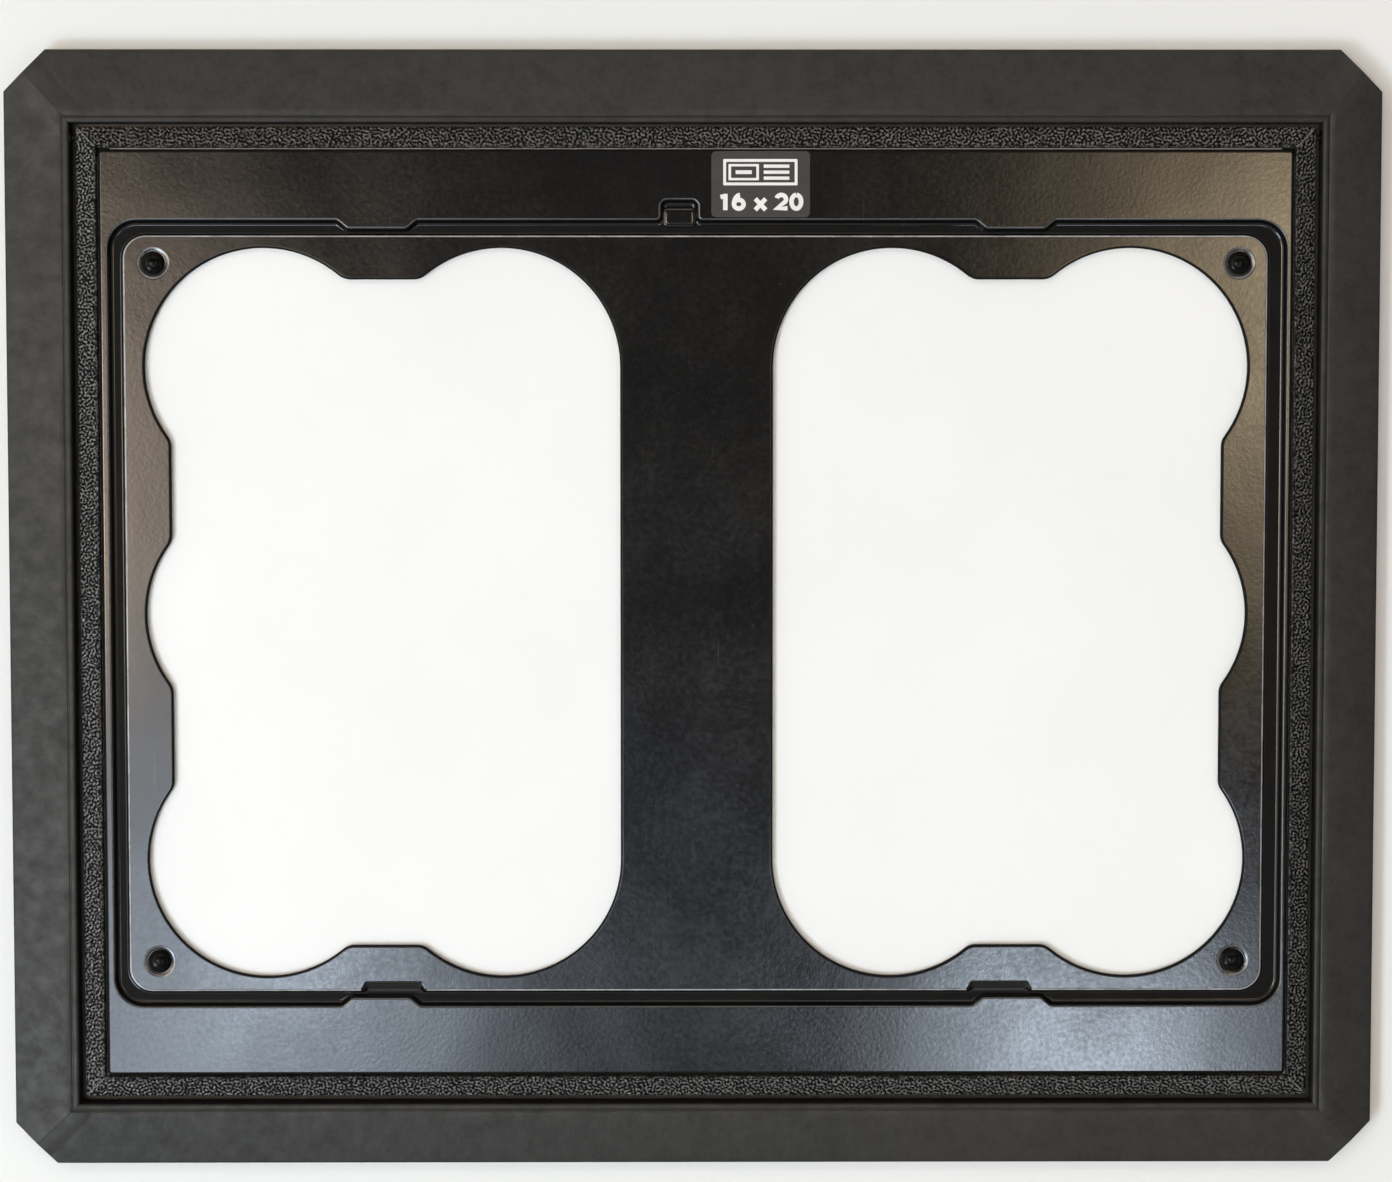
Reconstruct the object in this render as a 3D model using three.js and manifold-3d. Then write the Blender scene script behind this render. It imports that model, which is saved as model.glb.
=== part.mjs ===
// Hinged enlarging easel for 16 x 20 in paper, closed and lying on its working side.
// Millimetres, +Z up. The origin is the centre of the masking frame on the surface it lies on.
// +Y is the hinge side, called the back. The base swings up about the hinge, away from the frame.

import * as THREE from 'three';
import { mergeVertices } from 'three/addons/utils/BufferGeometryUtils.js';
import Module from 'manifold-3d';

const wasm = await Module();
wasm.setup();

// Driving dimensions.
const PAPER_LENGTH = 508;
const PAPER_DEPTH = 406.4;
const PAPER_BORDER = 6.35;
const RAIL_WIDTH = { back: 30.8, front: 26.2, left: 27.8, right: 25.4 };
const PARTING_GAP = { back: 1.6, front: 3.1, left: 2.5, right: 2.5 };
const SHEET = 0.8;
const FIT_GAP = 0.3;

// Base, seen from above: board inside the trim, trim inside the parting gap.
const BOARD_MARGIN_LENGTH = 4.5;
const BOARD_MARGIN_DEPTH = 0.3;
const SKIRT = 2;
const SKIRT_PLAY = 0.25;
const BOARD_LENGTH = PAPER_LENGTH + 2 * BOARD_MARGIN_LENGTH;
const BOARD_DEPTH = PAPER_DEPTH + 2 * BOARD_MARGIN_DEPTH;
const BASE_LENGTH = BOARD_LENGTH + 2 * (SKIRT + SKIRT_PLAY);
const BASE_DEPTH = BOARD_DEPTH + 2 * (SKIRT + SKIRT_PLAY);

// Frame, seen from above. Rails and gaps differ from side to side, so the opening and the base
// each sit a little off centre.
const LIP_LENGTH = BASE_LENGTH + PARTING_GAP.left + PARTING_GAP.right;
const LIP_DEPTH = BASE_DEPTH + PARTING_GAP.back + PARTING_GAP.front;
const LIP_X = (RAIL_WIDTH.left - RAIL_WIDTH.right) / 2;
const LIP_Y = (RAIL_WIDTH.front - RAIL_WIDTH.back) / 2;
const FRAME_LENGTH = LIP_LENGTH + RAIL_WIDTH.left + RAIL_WIDTH.right;
const FRAME_DEPTH = LIP_DEPTH + RAIL_WIDTH.back + RAIL_WIDTH.front;
const BASE_X = LIP_X + (PARTING_GAP.left - PARTING_GAP.right) / 2;
const BASE_Y = LIP_Y + (PARTING_GAP.front - PARTING_GAP.back) / 2;
const CORNER_CUT = 17.8;

// Heights above the surface the frame lies on.
const MASK_BOTTOM = 0.1;
const MASK_TOP = 1.1;
const SKIRT_BOTTOM = 2;
const BOARD_BOTTOM = 2.3;
const BOARD_TOP = 8.2;
const PANEL_TOP = 10.9;
const STRIP_TOP = 11.8;
const LIP_TOP = 11;
const CREST_TOP = 12.8;
const FOOT_TOP = 13.6;

// Masking frame details.
const RABBET = 10;
const MASK_LENGTH = LIP_LENGTH + 2 * (RABBET - FIT_GAP);
const MASK_DEPTH = LIP_DEPTH + 2 * (RABBET - FIT_GAP);
const WINDOW_LENGTH = PAPER_LENGTH - 2 * PAPER_BORDER;
const WINDOW_DEPTH = PAPER_DEPTH - 2 * PAPER_BORDER;
const CHANNEL = { outer: 0.42, inner: 0.6, bottom: 3, top: 6 };
const KEY_LEG = 42;
const SCREW_INSET = 5;
const SCREW_HEAD_RADIUS = 2.4;
const SCREW_RADIUS = 1.2;
const SCREW_TOP = 5.2;

// Base trim section.
const TRIM_WIDTH = 9;
const CREST_INSET = 8.3;
const SLOPE_FOOT = 8.8;

// Bottom pan.
const PAN_LENGTH = BASE_LENGTH - 2 * (TRIM_WIDTH + FIT_GAP + 0.2);
const PAN_DEPTH = BASE_DEPTH - 2 * (TRIM_WIDTH + FIT_GAP + 0.2);
const GROOVE = { length: 495.5, depth: 334, radius: 12.5 };
const PANEL = { length: 482, depth: 320, radius: 9.5 };
const JOG = { at: 134.3, baseHalf: 16.6, flatHalf: 12.2, depth: 3.6 };
const POCKET = { at: -7.2, half: 8.7, depth: 8.5, radius: 1.6 };
const RECESS = { at: 129, half: 13, depth: 3.2 };
const PRESS_RADIUS = 1.2;

// Scalloped openings: five lobes of one radius, joined by short flats.
const LOBE_RADIUS = 50;
const LOBE_NEAR_X = 82.2;
const LOBE_FAR_X = 182.4;
const LOBE_Y = 104.4;
const OPENING_SHIFT = 0.6;
const FLAT_OUT_Y = 36.8;
const FLAT_OUT_X = 39.2;
const FLAT_FILLET = 8;

// Feet, label and hinge.
const FOOT_X = 228.5;
const FOOT_Y = 148;
const FOOT_RADIUS = 5;
const STEM_RADIUS = 2.4;
const DIMPLE_RADIUS = 6.75;
const DIMPLE_DEPTH = 0.6;
const LABEL = { length: 41.5, depth: 27.8, radius: 2.2, thickness: 0.25 };
const LABEL_X = 27;
const HINGE_Y = BASE_Y + BASE_DEPTH / 2 - 4.5;
const HINGE_Z = 7.2;
const PIN_RADIUS = 1;
const BUSH_RADIUS = 2;
const NOTCH_LENGTH = 12;
const NOTCH_DEPTH = 10;

const FRAME_BODY = 'masking frame';
const BASE_BODY = 'base';

// ---------------------------------------------------------------- small geometry helpers

function solidOf(geometry) {
  const bare = new THREE.BufferGeometry();
  bare.setAttribute('position', geometry.getAttribute('position').clone());
  if (geometry.index) {
    bare.setIndex(geometry.index.clone());
  }
  const welded = mergeVertices(bare, 1e-5);
  const mesh = new wasm.Mesh({
    numProp: 3,
    vertProperties: Float32Array.from(welded.getAttribute('position').array),
    triVerts: Uint32Array.from(welded.index.array),
  });
  mesh.merge();
  return new wasm.Manifold(mesh);
}

function geometryOf(solid) {
  const mesh = solid.getMesh();
  const shared = new THREE.BufferGeometry();
  shared.setAttribute('position', new THREE.BufferAttribute(mesh.vertProperties, 3));
  shared.setIndex(new THREE.BufferAttribute(mesh.triVerts, 1));
  const flat = shared.toNonIndexed();
  flat.computeVertexNormals();
  return flat;
}

function join(geometries) {
  return geometryOf(geometries.map(solidOf).reduce((whole, piece) => whole.add(piece)));
}

function cut(geometry, tools) {
  return geometryOf(tools.map(solidOf).reduce((rest, tool) => rest.subtract(tool), solidOf(geometry)));
}

function slab(outline, holes, bottom, top) {
  const shape = new THREE.Shape(outline);
  shape.holes = holes.map((hole) => new THREE.Path(hole));
  const geometry = new THREE.ExtrudeGeometry(shape, { depth: top - bottom, bevelEnabled: false });
  geometry.translate(0, 0, bottom);
  return geometry;
}

function block(length, depth, bottom, top) {
  const geometry = new THREE.BoxGeometry(length, depth, top - bottom);
  geometry.translate(0, 0, (bottom + top) / 2);
  return geometry;
}

function turned(profile, segments) {
  const points = profile.map(([radius, height]) => new THREE.Vector2(radius, height));
  const geometry = new THREE.LatheGeometry(points, segments);
  geometry.rotateX(Math.PI / 2);
  return geometry;
}

function rod(radius, length, segments) {
  const geometry = new THREE.CylinderGeometry(radius, radius, length, segments);
  geometry.rotateZ(Math.PI / 2);
  return geometry;
}

function arc(centreX, centreY, radius, from, to, steps) {
  const points = [];
  for (let step = 0; step <= steps; step += 1) {
    const angle = from + ((to - from) * step) / steps;
    points.push(new THREE.Vector2(centreX + radius * Math.cos(angle), centreY + radius * Math.sin(angle)));
  }
  return points;
}

function circle(centreX, centreY, radius, steps) {
  return arc(centreX, centreY, radius, 0, 2 * Math.PI * (1 - 1 / steps), steps - 1);
}

// Rounds every corner of a polygon. Each corner is [x, y, radius]; a zero radius stays sharp.
function rounded(corners) {
  const points = [];
  corners.forEach(([x, y, radius], index) => {
    const here = new THREE.Vector2(x, y);
    const before = new THREE.Vector2(...corners.at(index - 1));
    const after = new THREE.Vector2(...corners[(index + 1) % corners.length]);
    const back = before.sub(here).normalize();
    const ahead = after.sub(here).normalize();
    const turn = Math.PI - Math.acos(THREE.MathUtils.clamp(back.dot(ahead), -1, 1));
    if (radius < 0.05) {
      points.push(here);
      return;
    }
    const reach = radius * Math.tan(turn / 2);
    const toCentre = radius / Math.cos(turn / 2);
    const centre = back.clone().add(ahead).normalize().multiplyScalar(toCentre).add(here);
    const start = here.clone().addScaledVector(back, reach);
    const side = Math.sign(back.y * ahead.x - back.x * ahead.y);
    const from = Math.atan2(start.y - centre.y, start.x - centre.x);
    const steps = Math.max(2, Math.ceil(turn / 0.27));
    points.push(...arc(centre.x, centre.y, radius, from, from + side * turn, steps));
  });
  return points;
}

function rectangle(length, depth, radius) {
  const x = length / 2;
  const y = depth / 2;
  return rounded([[-x, -y, radius], [x, -y, radius], [x, y, radius], [-x, y, radius]]);
}

function shifted(points, x, y) {
  return points.map((point) => new THREE.Vector2(point.x + x, point.y + y));
}

// A straight bar along X with mitred ends. The section is given as [inset from the outer edge, height],
// counter-clockwise, with clockwise holes. Its outer edge runs along y = 0 and its inset along +Y.
// startLoss and endLoss say how much length each end loses per unit of inset.
function mitredBar(section, holes, length, startLoss, endLoss) {
  const loops = [section, ...holes];
  const flatPoints = loops.flat();
  const count = flatPoints.length;
  const positions = [];
  flatPoints.forEach(([inset, height]) => positions.push(-length / 2 + inset * startLoss, inset, height));
  flatPoints.forEach(([inset, height]) => positions.push(length / 2 - inset * endLoss, inset, height));
  const indices = [];
  let first = 0;
  loops.forEach((loop) => {
    loop.forEach((unused, index) => {
      const here = first + index;
      const next = first + ((index + 1) % loop.length);
      indices.push(here, next, next + count, here, next + count, here + count);
    });
    first += loop.length;
  });
  const asVectors = loops.map((loop) => loop.map(([inset, height]) => new THREE.Vector2(inset, height)));
  const caps = THREE.ShapeUtils.triangulateShape(asVectors[0], asVectors.slice(1));
  caps.forEach(([a, b, c]) => {
    indices.push(a + count, b + count, c + count);
    indices.push(a, c, b);
  });
  const geometry = new THREE.BufferGeometry();
  geometry.setAttribute('position', new THREE.Float32BufferAttribute(positions, 3));
  geometry.setIndex(indices);
  return geometry;
}

// The four sides of a rectangle: how far each is turned, its length, and the sides it meets.
function sidesOf(length, depth) {
  return {
    front: { turn: 0, length, across: depth, start: 'left', end: 'right' },
    right: { turn: Math.PI / 2, length: depth, across: length, start: 'front', end: 'back' },
    back: { turn: Math.PI, length, across: depth, start: 'right', end: 'left' },
    left: { turn: -Math.PI / 2, length: depth, across: length, start: 'back', end: 'front' },
  };
}

function placeSide(geometry, side) {
  geometry.translate(0, -side.across / 2, 0);
  geometry.rotateZ(side.turn);
  return geometry;
}

// ---------------------------------------------------------------- materials and the scene graph

function paint(colour, roughness, metalness) {
  return new THREE.MeshStandardMaterial({ color: colour, roughness, metalness });
}

const materials = {
  frameVinyl: () => paint(0x34322f, 0.75, 0),
  maskSteel: () => paint(0x232323, 0.5, 0.6),
  zincSteel: () => paint(0xa9abad, 0.35, 1),
  screwSteel: () => paint(0x2b2b2c, 0.4, 0.9),
  brass: () => paint(0xb08d46, 0.35, 1),
  grainTrim: () => paint(0x2e2d2d, 0.6, 0),
  glossEnamel: () => paint(0x1c1c1e, 0.2, 0.1),
  whiteBoard: () => paint(0xf4f4f1, 0.45, 0),
  rubber: () => paint(0x0e0e0f, 0.35, 0),
  labelFilm: () => paint(0x434142, 0.4, 0),
  guideTape: () => paint(0xd9d8d2, 0.6, 0),
  feltPad: () => paint(0x3b3b3a, 0.95, 0),
};

const easel = new THREE.Group();
easel.name = 'enlarging_easel';
const frameGroup = new THREE.Group();
frameGroup.name = FRAME_BODY;
const baseGroup = new THREE.Group();
baseGroup.name = BASE_BODY;
baseGroup.position.set(BASE_X, BASE_Y, 0);
easel.add(frameGroup, baseGroup);

function addPiece(group, name, geometry, material, position = [0, 0, 0]) {
  const mesh = new THREE.Mesh(geometry, material);
  mesh.name = name;
  mesh.position.set(...position);
  group.add(mesh);
}

// ---------------------------------------------------------------- masking frame

// Rail section: chamfered outer edge, rabbet for the mask, a fine line beside the rounded lip,
// and a top that falls away towards the outer edge.
function railSection(width) {
  return [
    [2.5, 0],
    [width - RABBET, 0],
    [width - RABBET, MASK_TOP],
    [width, MASK_TOP],
    [width, LIP_TOP - 0.8],
    [width - 0.8, LIP_TOP],
    [width - 2.4, LIP_TOP],
    [width - 2.7, LIP_TOP - 0.7],
    [width - 3.1, LIP_TOP - 0.7],
    [width - 3.4, LIP_TOP - 0.2],
    [1, 8.2],
    [0, 7.4],
    [0, 2.5],
  ];
}

function channelSection(width) {
  const outer = CHANNEL.outer * width;
  const inner = CHANNEL.inner * width;
  return [[outer, CHANNEL.bottom], [outer, CHANNEL.top], [inner, CHANNEL.top], [inner, CHANNEL.bottom]];
}

function screwProfile(growth) {
  const head = SCREW_HEAD_RADIUS + growth;
  const shank = SCREW_RADIUS + growth;
  return [
    [0, MASK_BOTTOM + 0.1 - growth],
    [head, MASK_BOTTOM + 0.1 - growth],
    [shank, MASK_TOP + 0.3],
    [shank, SCREW_TOP - 0.4 + growth],
    [shank - 0.4, SCREW_TOP + growth],
    [0, SCREW_TOP + growth],
  ];
}

function screwPlaces() {
  const x = LIP_LENGTH / 2 + SCREW_INSET;
  const y = LIP_DEPTH / 2 + SCREW_INSET;
  const places = [];
  [-1, 1].forEach((along) => {
    places.push([along * LIP_LENGTH * 0.28, y], [along * LIP_LENGTH * 0.28, -y]);
    places.push([x, along * LIP_DEPTH * 0.26], [-x, along * LIP_DEPTH * 0.26]);
  });
  return places.map(([placeX, placeY]) => [placeX + LIP_X, placeY + LIP_Y]);
}

function screwHoles() {
  return screwPlaces().map(([x, y]) => turned(screwProfile(FIT_GAP), 16).translate(x, y, 0));
}

// A square prism turned by 45 degrees whose face clips one corner of the frame.
function cornerCutters() {
  const size = 60;
  const reach = size / 2 - CORNER_CUT / Math.SQRT2;
  return [[1, 1], [1, -1], [-1, 1], [-1, -1]].map(([sideX, sideY]) => {
    const geometry = block(size, size, -5, LIP_TOP + 5);
    geometry.rotateZ(Math.PI / 4);
    const out = reach / Math.SQRT2;
    return geometry.translate(sideX * (FRAME_LENGTH / 2 + out), sideY * (FRAME_DEPTH / 2 + out), 0);
  });
}

function bushHoles() {
  const length = 12;
  return [-1, 1].map((side) => {
    const x = LIP_X + side * (LIP_LENGTH / 2);
    return rod(BUSH_RADIUS + FIT_GAP, length, 20).translate(x, HINGE_Y, HINGE_Z);
  });
}

function addRails() {
  const sides = sidesOf(FRAME_LENGTH, FRAME_DEPTH);
  const tools = [...cornerCutters(), ...screwHoles(), ...bushHoles()];
  Object.entries(sides).forEach(([name, side]) => {
    const width = RAIL_WIDTH[name];
    const startLoss = RAIL_WIDTH[side.start] / width;
    const endLoss = RAIL_WIDTH[side.end] / width;
    const bar = mitredBar(railSection(width), [channelSection(width)], side.length, startLoss, endLoss);
    const rail = cut(placeSide(bar, side), tools);
    addPiece(frameGroup, `frame_rail_${name}`, rail, materials.frameVinyl());
  });
}

// An L-shaped key lies in the hollow of two rails and crosses their mitre.
function cornerKey(widthAcross, widthAlong) {
  const outerX = CHANNEL.outer * widthAcross + FIT_GAP;
  const innerX = CHANNEL.inner * widthAcross - FIT_GAP;
  const outerY = CHANNEL.outer * widthAlong + FIT_GAP;
  const innerY = CHANNEL.inner * widthAlong - FIT_GAP;
  const outline = rounded([
    [outerX, outerY, 1],
    [KEY_LEG, outerY, 0.8],
    [KEY_LEG, innerY, 0.8],
    [innerX, innerY, 0],
    [innerX, KEY_LEG, 0.8],
    [outerX, KEY_LEG, 0.8],
  ]);
  return slab(outline, [], CHANNEL.bottom + 0.2, CHANNEL.top - 0.2);
}

function addCornerKeys() {
  [['left', 1], ['right', -1]].forEach(([sideName, signX]) => {
    [['front', 1], ['back', -1]].forEach(([endName, signY]) => {
      const key = solidOf(cornerKey(RAIL_WIDTH[sideName], RAIL_WIDTH[endName]));
      const turnedKey = key.scale([signX, signY, 1]);
      const place = [-signX * (FRAME_LENGTH / 2), -signY * (FRAME_DEPTH / 2), 0];
      const name = `corner_key_${endName}_${sideName}`;
      addPiece(frameGroup, name, geometryOf(turnedKey), materials.zincSteel(), place);
    });
  });
}

function addMask() {
  const window = shifted(rectangle(WINDOW_LENGTH, WINDOW_DEPTH, 0), BASE_X, BASE_Y);
  const outline = shifted(rectangle(MASK_LENGTH, MASK_DEPTH, 3), LIP_X, LIP_Y);
  const sheet = cut(slab(outline, [window], MASK_BOTTOM, MASK_TOP), screwHoles());
  addPiece(frameGroup, 'mask_plate', sheet, materials.maskSteel());
  screwPlaces().forEach(([x, y], index) => {
    const screw = turned(screwProfile(0), 16);
    addPiece(frameGroup, `mask_screw_${index + 1}`, screw, materials.screwSteel(), [x, y, 0]);
  });
}

// Flanged bushes set into the side rails; the hinge stubs of the base turn in them.
function addBushes() {
  const bore = PIN_RADIUS + FIT_GAP;
  const length = 5.6;
  [['left', -1], ['right', 1]].forEach(([name, side]) => {
    const bush = turned([
      [bore, 0],
      [BUSH_RADIUS + 0.9, 0],
      [BUSH_RADIUS + 0.9, 0.6],
      [BUSH_RADIUS, 0.6],
      [BUSH_RADIUS, length],
      [bore, length],
      [bore, 0],
    ], 24);
    bush.rotateY((side * Math.PI) / 2);
    const x = LIP_X + side * (LIP_LENGTH / 2 - 0.6);
    addPiece(frameGroup, `hinge_bush_${name}`, bush, materials.brass(), [x, HINGE_Y, HINGE_Z]);
  });
}

// ---------------------------------------------------------------- base

// Trim section: a skirt beside the board and a grained slope rising inwards to a crest.
const TRIM_SECTION = [
  [SKIRT - 0.3, SKIRT_BOTTOM + 0.1],
  [SKIRT, SKIRT_BOTTOM],
  [SKIRT, BOARD_TOP],
  [TRIM_WIDTH, BOARD_TOP],
  [TRIM_WIDTH, CREST_TOP - 0.4],
  [CREST_INSET, CREST_TOP],
  [0, SLOPE_FOOT],
  [0, 4.6],
];

function pinPassages() {
  return [-1, 1].map((side) => {
    const passage = rod(PIN_RADIUS + 0.15, 4 * SKIRT, 20);
    return passage.translate(side * (BASE_LENGTH / 2), HINGE_Y - BASE_Y, HINGE_Z);
  });
}

function addTrim() {
  const sides = sidesOf(BASE_LENGTH, BASE_DEPTH);
  Object.entries(sides).forEach(([name, side]) => {
    const bar = placeSide(mitredBar(TRIM_SECTION, [], side.length, 1, 1), side);
    const sideways = name === 'left' || name === 'right';
    const strip = sideways ? cut(bar, pinPassages()) : bar;
    addPiece(baseGroup, `base_trim_${name}`, strip, materials.grainTrim());
  });
}

// The back corners of the board are notched for the hinge stubs.
function addBoard() {
  const x = BOARD_LENGTH / 2;
  const y = BOARD_DEPTH / 2;
  const outline = rounded([
    [-x, -y, 0],
    [x, -y, 0],
    [x, y - NOTCH_DEPTH, 0],
    [x - NOTCH_LENGTH, y - NOTCH_DEPTH, 0],
    [x - NOTCH_LENGTH, y, 0],
    [NOTCH_LENGTH - x, y, 0],
    [NOTCH_LENGTH - x, y - NOTCH_DEPTH, 0],
    [-x, y - NOTCH_DEPTH, 0],
  ]);
  addPiece(baseGroup, 'bed_board', slab(outline, [], BOARD_BOTTOM, BOARD_TOP), materials.whiteBoard());
}

// A hinge stub is a block in the notch with a pin that runs out through the trim into the bush.
function addHingeStubs() {
  const length = NOTCH_LENGTH - 2 * FIT_GAP;
  const depth = NOTCH_DEPTH - FIT_GAP - 0.1;
  const blockY = BOARD_DEPTH / 2 - depth / 2 - 0.1;
  const pinEnd = BASE_LENGTH / 2 + PARTING_GAP.left + 4.4;
  [['left', -1], ['right', 1]].forEach(([name, side]) => {
    const blockX = BOARD_LENGTH / 2 - FIT_GAP - length / 2;
    const body = block(length, depth, BOARD_BOTTOM + 0.3, BOARD_TOP);
    body.translate(side * blockX, blockY, 0);
    const pin = rod(PIN_RADIUS, pinEnd - blockX, 20);
    pin.translate((side * (pinEnd + blockX)) / 2, HINGE_Y - BASE_Y, HINGE_Z);
    addPiece(baseGroup, `hinge_stub_${name}`, join([body, pin]), materials.zincSteel());
  });
}

// The two short edges of the working face carry thin guides that centre the paper.
function addPaperGuides() {
  const width = BOARD_MARGIN_LENGTH - 0.4;
  [['left', -1], ['right', 1]].forEach(([name, side]) => {
    const strip = block(width, BOARD_DEPTH - 2 * (NOTCH_DEPTH + 2), BOARD_BOTTOM - 0.4, BOARD_BOTTOM);
    const x = side * (BOARD_LENGTH / 2 - width / 2);
    addPiece(baseGroup, `paper_guide_${name}`, strip, materials.guideTape(), [x, 0, 0]);
  });
}

// Outer wall of the groove. Two jogs in the back and front walls stiffen the press,
// and one small pocket opens out of the back wall.
function grooveOutline(outset) {
  const x = GROOVE.length / 2 + outset;
  const y = GROOVE.depth / 2 + outset;
  const radius = GROOVE.radius + outset;
  const slant = 0.36 * outset;
  const jog = (centre, side) => [
    [centre - side * (JOG.baseHalf - slant), side * -y, PRESS_RADIUS],
    [centre - side * (JOG.flatHalf - slant), side * -(y - JOG.depth), PRESS_RADIUS],
    [centre + side * (JOG.flatHalf - slant), side * -(y - JOG.depth), PRESS_RADIUS],
    [centre + side * (JOG.baseHalf - slant), side * -y, PRESS_RADIUS],
  ];
  const right = POCKET.at + POCKET.half + outset;
  const left = POCKET.at - POCKET.half - outset;
  return rounded([
    [-x, -y, radius],
    ...jog(-JOG.at, 1),
    ...jog(JOG.at, 1),
    [x, -y, radius],
    [x, y, radius],
    ...jog(JOG.at, -1),
    [right, y, 0],
    [right, y + POCKET.depth, POCKET.radius + outset],
    [left, y + POCKET.depth, POCKET.radius + outset],
    [left, y, 0],
    ...jog(-JOG.at, -1),
    [-x, y, radius],
  ]);
}

// Edge of the raised panel, with two shallow recesses in its front edge.
function panelOutline(outset) {
  const x = PANEL.length / 2 + outset;
  const y = PANEL.depth / 2 + outset;
  const radius = PANEL.radius + outset;
  const recess = (centre) => [
    [centre - RECESS.half + outset, -y, 0],
    [centre - RECESS.half + outset + 1, -y + RECESS.depth, 0],
    [centre + RECESS.half - outset - 1, -y + RECESS.depth, 0],
    [centre + RECESS.half - outset, -y, 0],
  ];
  return rounded([
    [-x, -y, radius],
    ...recess(-RECESS.at),
    ...recess(RECESS.at),
    [x, -y, radius],
    [x, y, radius],
    [-x, y, radius],
  ]);
}

// Traces the right-hand opening counter-clockwise: arcs of the five lobes, each pair joined by a
// flat with filleted ends. The side next to the middle of the pan is a straight line.
function rightOpening() {
  const corners = [
    { x: LOBE_NEAR_X, y: -LOBE_Y, facing: -Math.PI / 2, flatOut: FLAT_OUT_Y },
    { x: LOBE_FAR_X, y: -LOBE_Y, facing: 0, flatOut: FLAT_OUT_X },
    { x: LOBE_FAR_X, y: 0, facing: 0, flatOut: FLAT_OUT_X },
    { x: LOBE_FAR_X, y: LOBE_Y, facing: Math.PI / 2, flatOut: FLAT_OUT_Y },
    { x: LOBE_NEAR_X, y: LOBE_Y },
  ];
  const toFillet = LOBE_RADIUS + FLAT_FILLET;
  const outline = [];
  let from = -Math.PI;
  corners.slice(0, -1).forEach((lobe, index) => {
    const next = corners[index + 1];
    const lean = Math.acos((lobe.flatOut + FLAT_FILLET) / toFillet);
    const leave = lobe.facing + lean;
    const arrive = lobe.facing - lean;
    const steps = Math.round((leave - from) / 0.15);
    outline.push(...arc(lobe.x, lobe.y, LOBE_RADIUS, from, leave, steps));
    const leaveX = lobe.x + toFillet * Math.cos(leave);
    const leaveY = lobe.y + toFillet * Math.sin(leave);
    const inward = lobe.facing + Math.PI;
    outline.push(...arc(leaveX, leaveY, FLAT_FILLET, leave + Math.PI, inward, 3).slice(1));
    const arriveX = next.x + toFillet * Math.cos(arrive);
    const arriveY = next.y + toFillet * Math.sin(arrive);
    outline.push(...arc(arriveX, arriveY, FLAT_FILLET, inward, arrive + Math.PI, 3).slice(0, -1));
    from = arrive;
  });
  const last = corners.at(-1);
  outline.push(...arc(last.x, last.y, LOBE_RADIUS, from, Math.PI, Math.round((Math.PI - from) / 0.15)));
  return outline;
}

function mirrored(points) {
  return points.map((point) => new THREE.Vector2(-point.x, point.y)).reverse();
}

function footPlaces() {
  const back = OPENING_SHIFT + FOOT_Y;
  const front = OPENING_SHIFT - FOOT_Y;
  return [[-FOOT_X, back], [FOOT_X, back], [-FOOT_X, front], [FOOT_X, front]];
}

function addPan() {
  const floorTop = BOARD_TOP + SHEET;
  const dimpleFloor = PANEL_TOP - DIMPLE_DEPTH;
  const rim = rectangle(PAN_LENGTH, PAN_DEPTH, 1.5);
  const rimInside = rectangle(PAN_LENGTH - 2 * SHEET, PAN_DEPTH - 2 * SHEET, 0.7);
  const opening = shifted(rightOpening(), 0, OPENING_SHIFT);
  const dimples = footPlaces().map(([x, y]) => circle(x, y, DIMPLE_RADIUS, 24));
  const pieces = [
    slab(rim, [rimInside], BOARD_TOP, STRIP_TOP),
    slab(rim, [grooveOutline(0)], STRIP_TOP - SHEET, STRIP_TOP),
    slab(grooveOutline(SHEET), [grooveOutline(0)], BOARD_TOP, STRIP_TOP),
    slab(grooveOutline(SHEET), [panelOutline(-SHEET)], BOARD_TOP, floorTop),
    slab(panelOutline(0), [panelOutline(-SHEET)], BOARD_TOP, PANEL_TOP),
    slab(panelOutline(0), [opening, mirrored(opening), ...dimples], PANEL_TOP - SHEET, PANEL_TOP),
  ];
  footPlaces().forEach(([x, y]) => {
    const cup = circle(x, y, DIMPLE_RADIUS + SHEET, 24);
    const inside = circle(x, y, DIMPLE_RADIUS, 24);
    const stemHole = circle(x, y, STEM_RADIUS + FIT_GAP, 16);
    pieces.push(slab(cup, [inside], dimpleFloor - SHEET, PANEL_TOP));
    pieces.push(slab(cup, [stemHole], dimpleFloor - SHEET, dimpleFloor));
  });
  addPiece(baseGroup, 'bottom_pan', join(pieces), materials.glossEnamel());
}

// Mushroom feet: the stem goes through the dimple floor and the dome stands above the crest.
function addFeet() {
  const seat = PANEL_TOP - DIMPLE_DEPTH;
  const shoulder = seat + 0.7;
  const stemEnd = BOARD_TOP + 0.5;
  const profile = [[0, stemEnd], [STEM_RADIUS, stemEnd], [STEM_RADIUS, seat], [FOOT_RADIUS, seat]];
  for (let step = 0; step <= 6; step += 1) {
    const angle = (step * Math.PI) / 12;
    const radius = step === 6 ? 0 : FOOT_RADIUS * Math.cos(angle);
    profile.push([radius, shoulder + (FOOT_TOP - shoulder) * Math.sin(angle)]);
  }
  const names = ['back_left', 'back_right', 'front_left', 'front_right'];
  footPlaces().forEach(([x, y], index) => {
    addPiece(baseGroup, `foot_${names[index]}`, turned(profile, 24), materials.rubber(), [x, y, 0]);
  });
}

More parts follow.
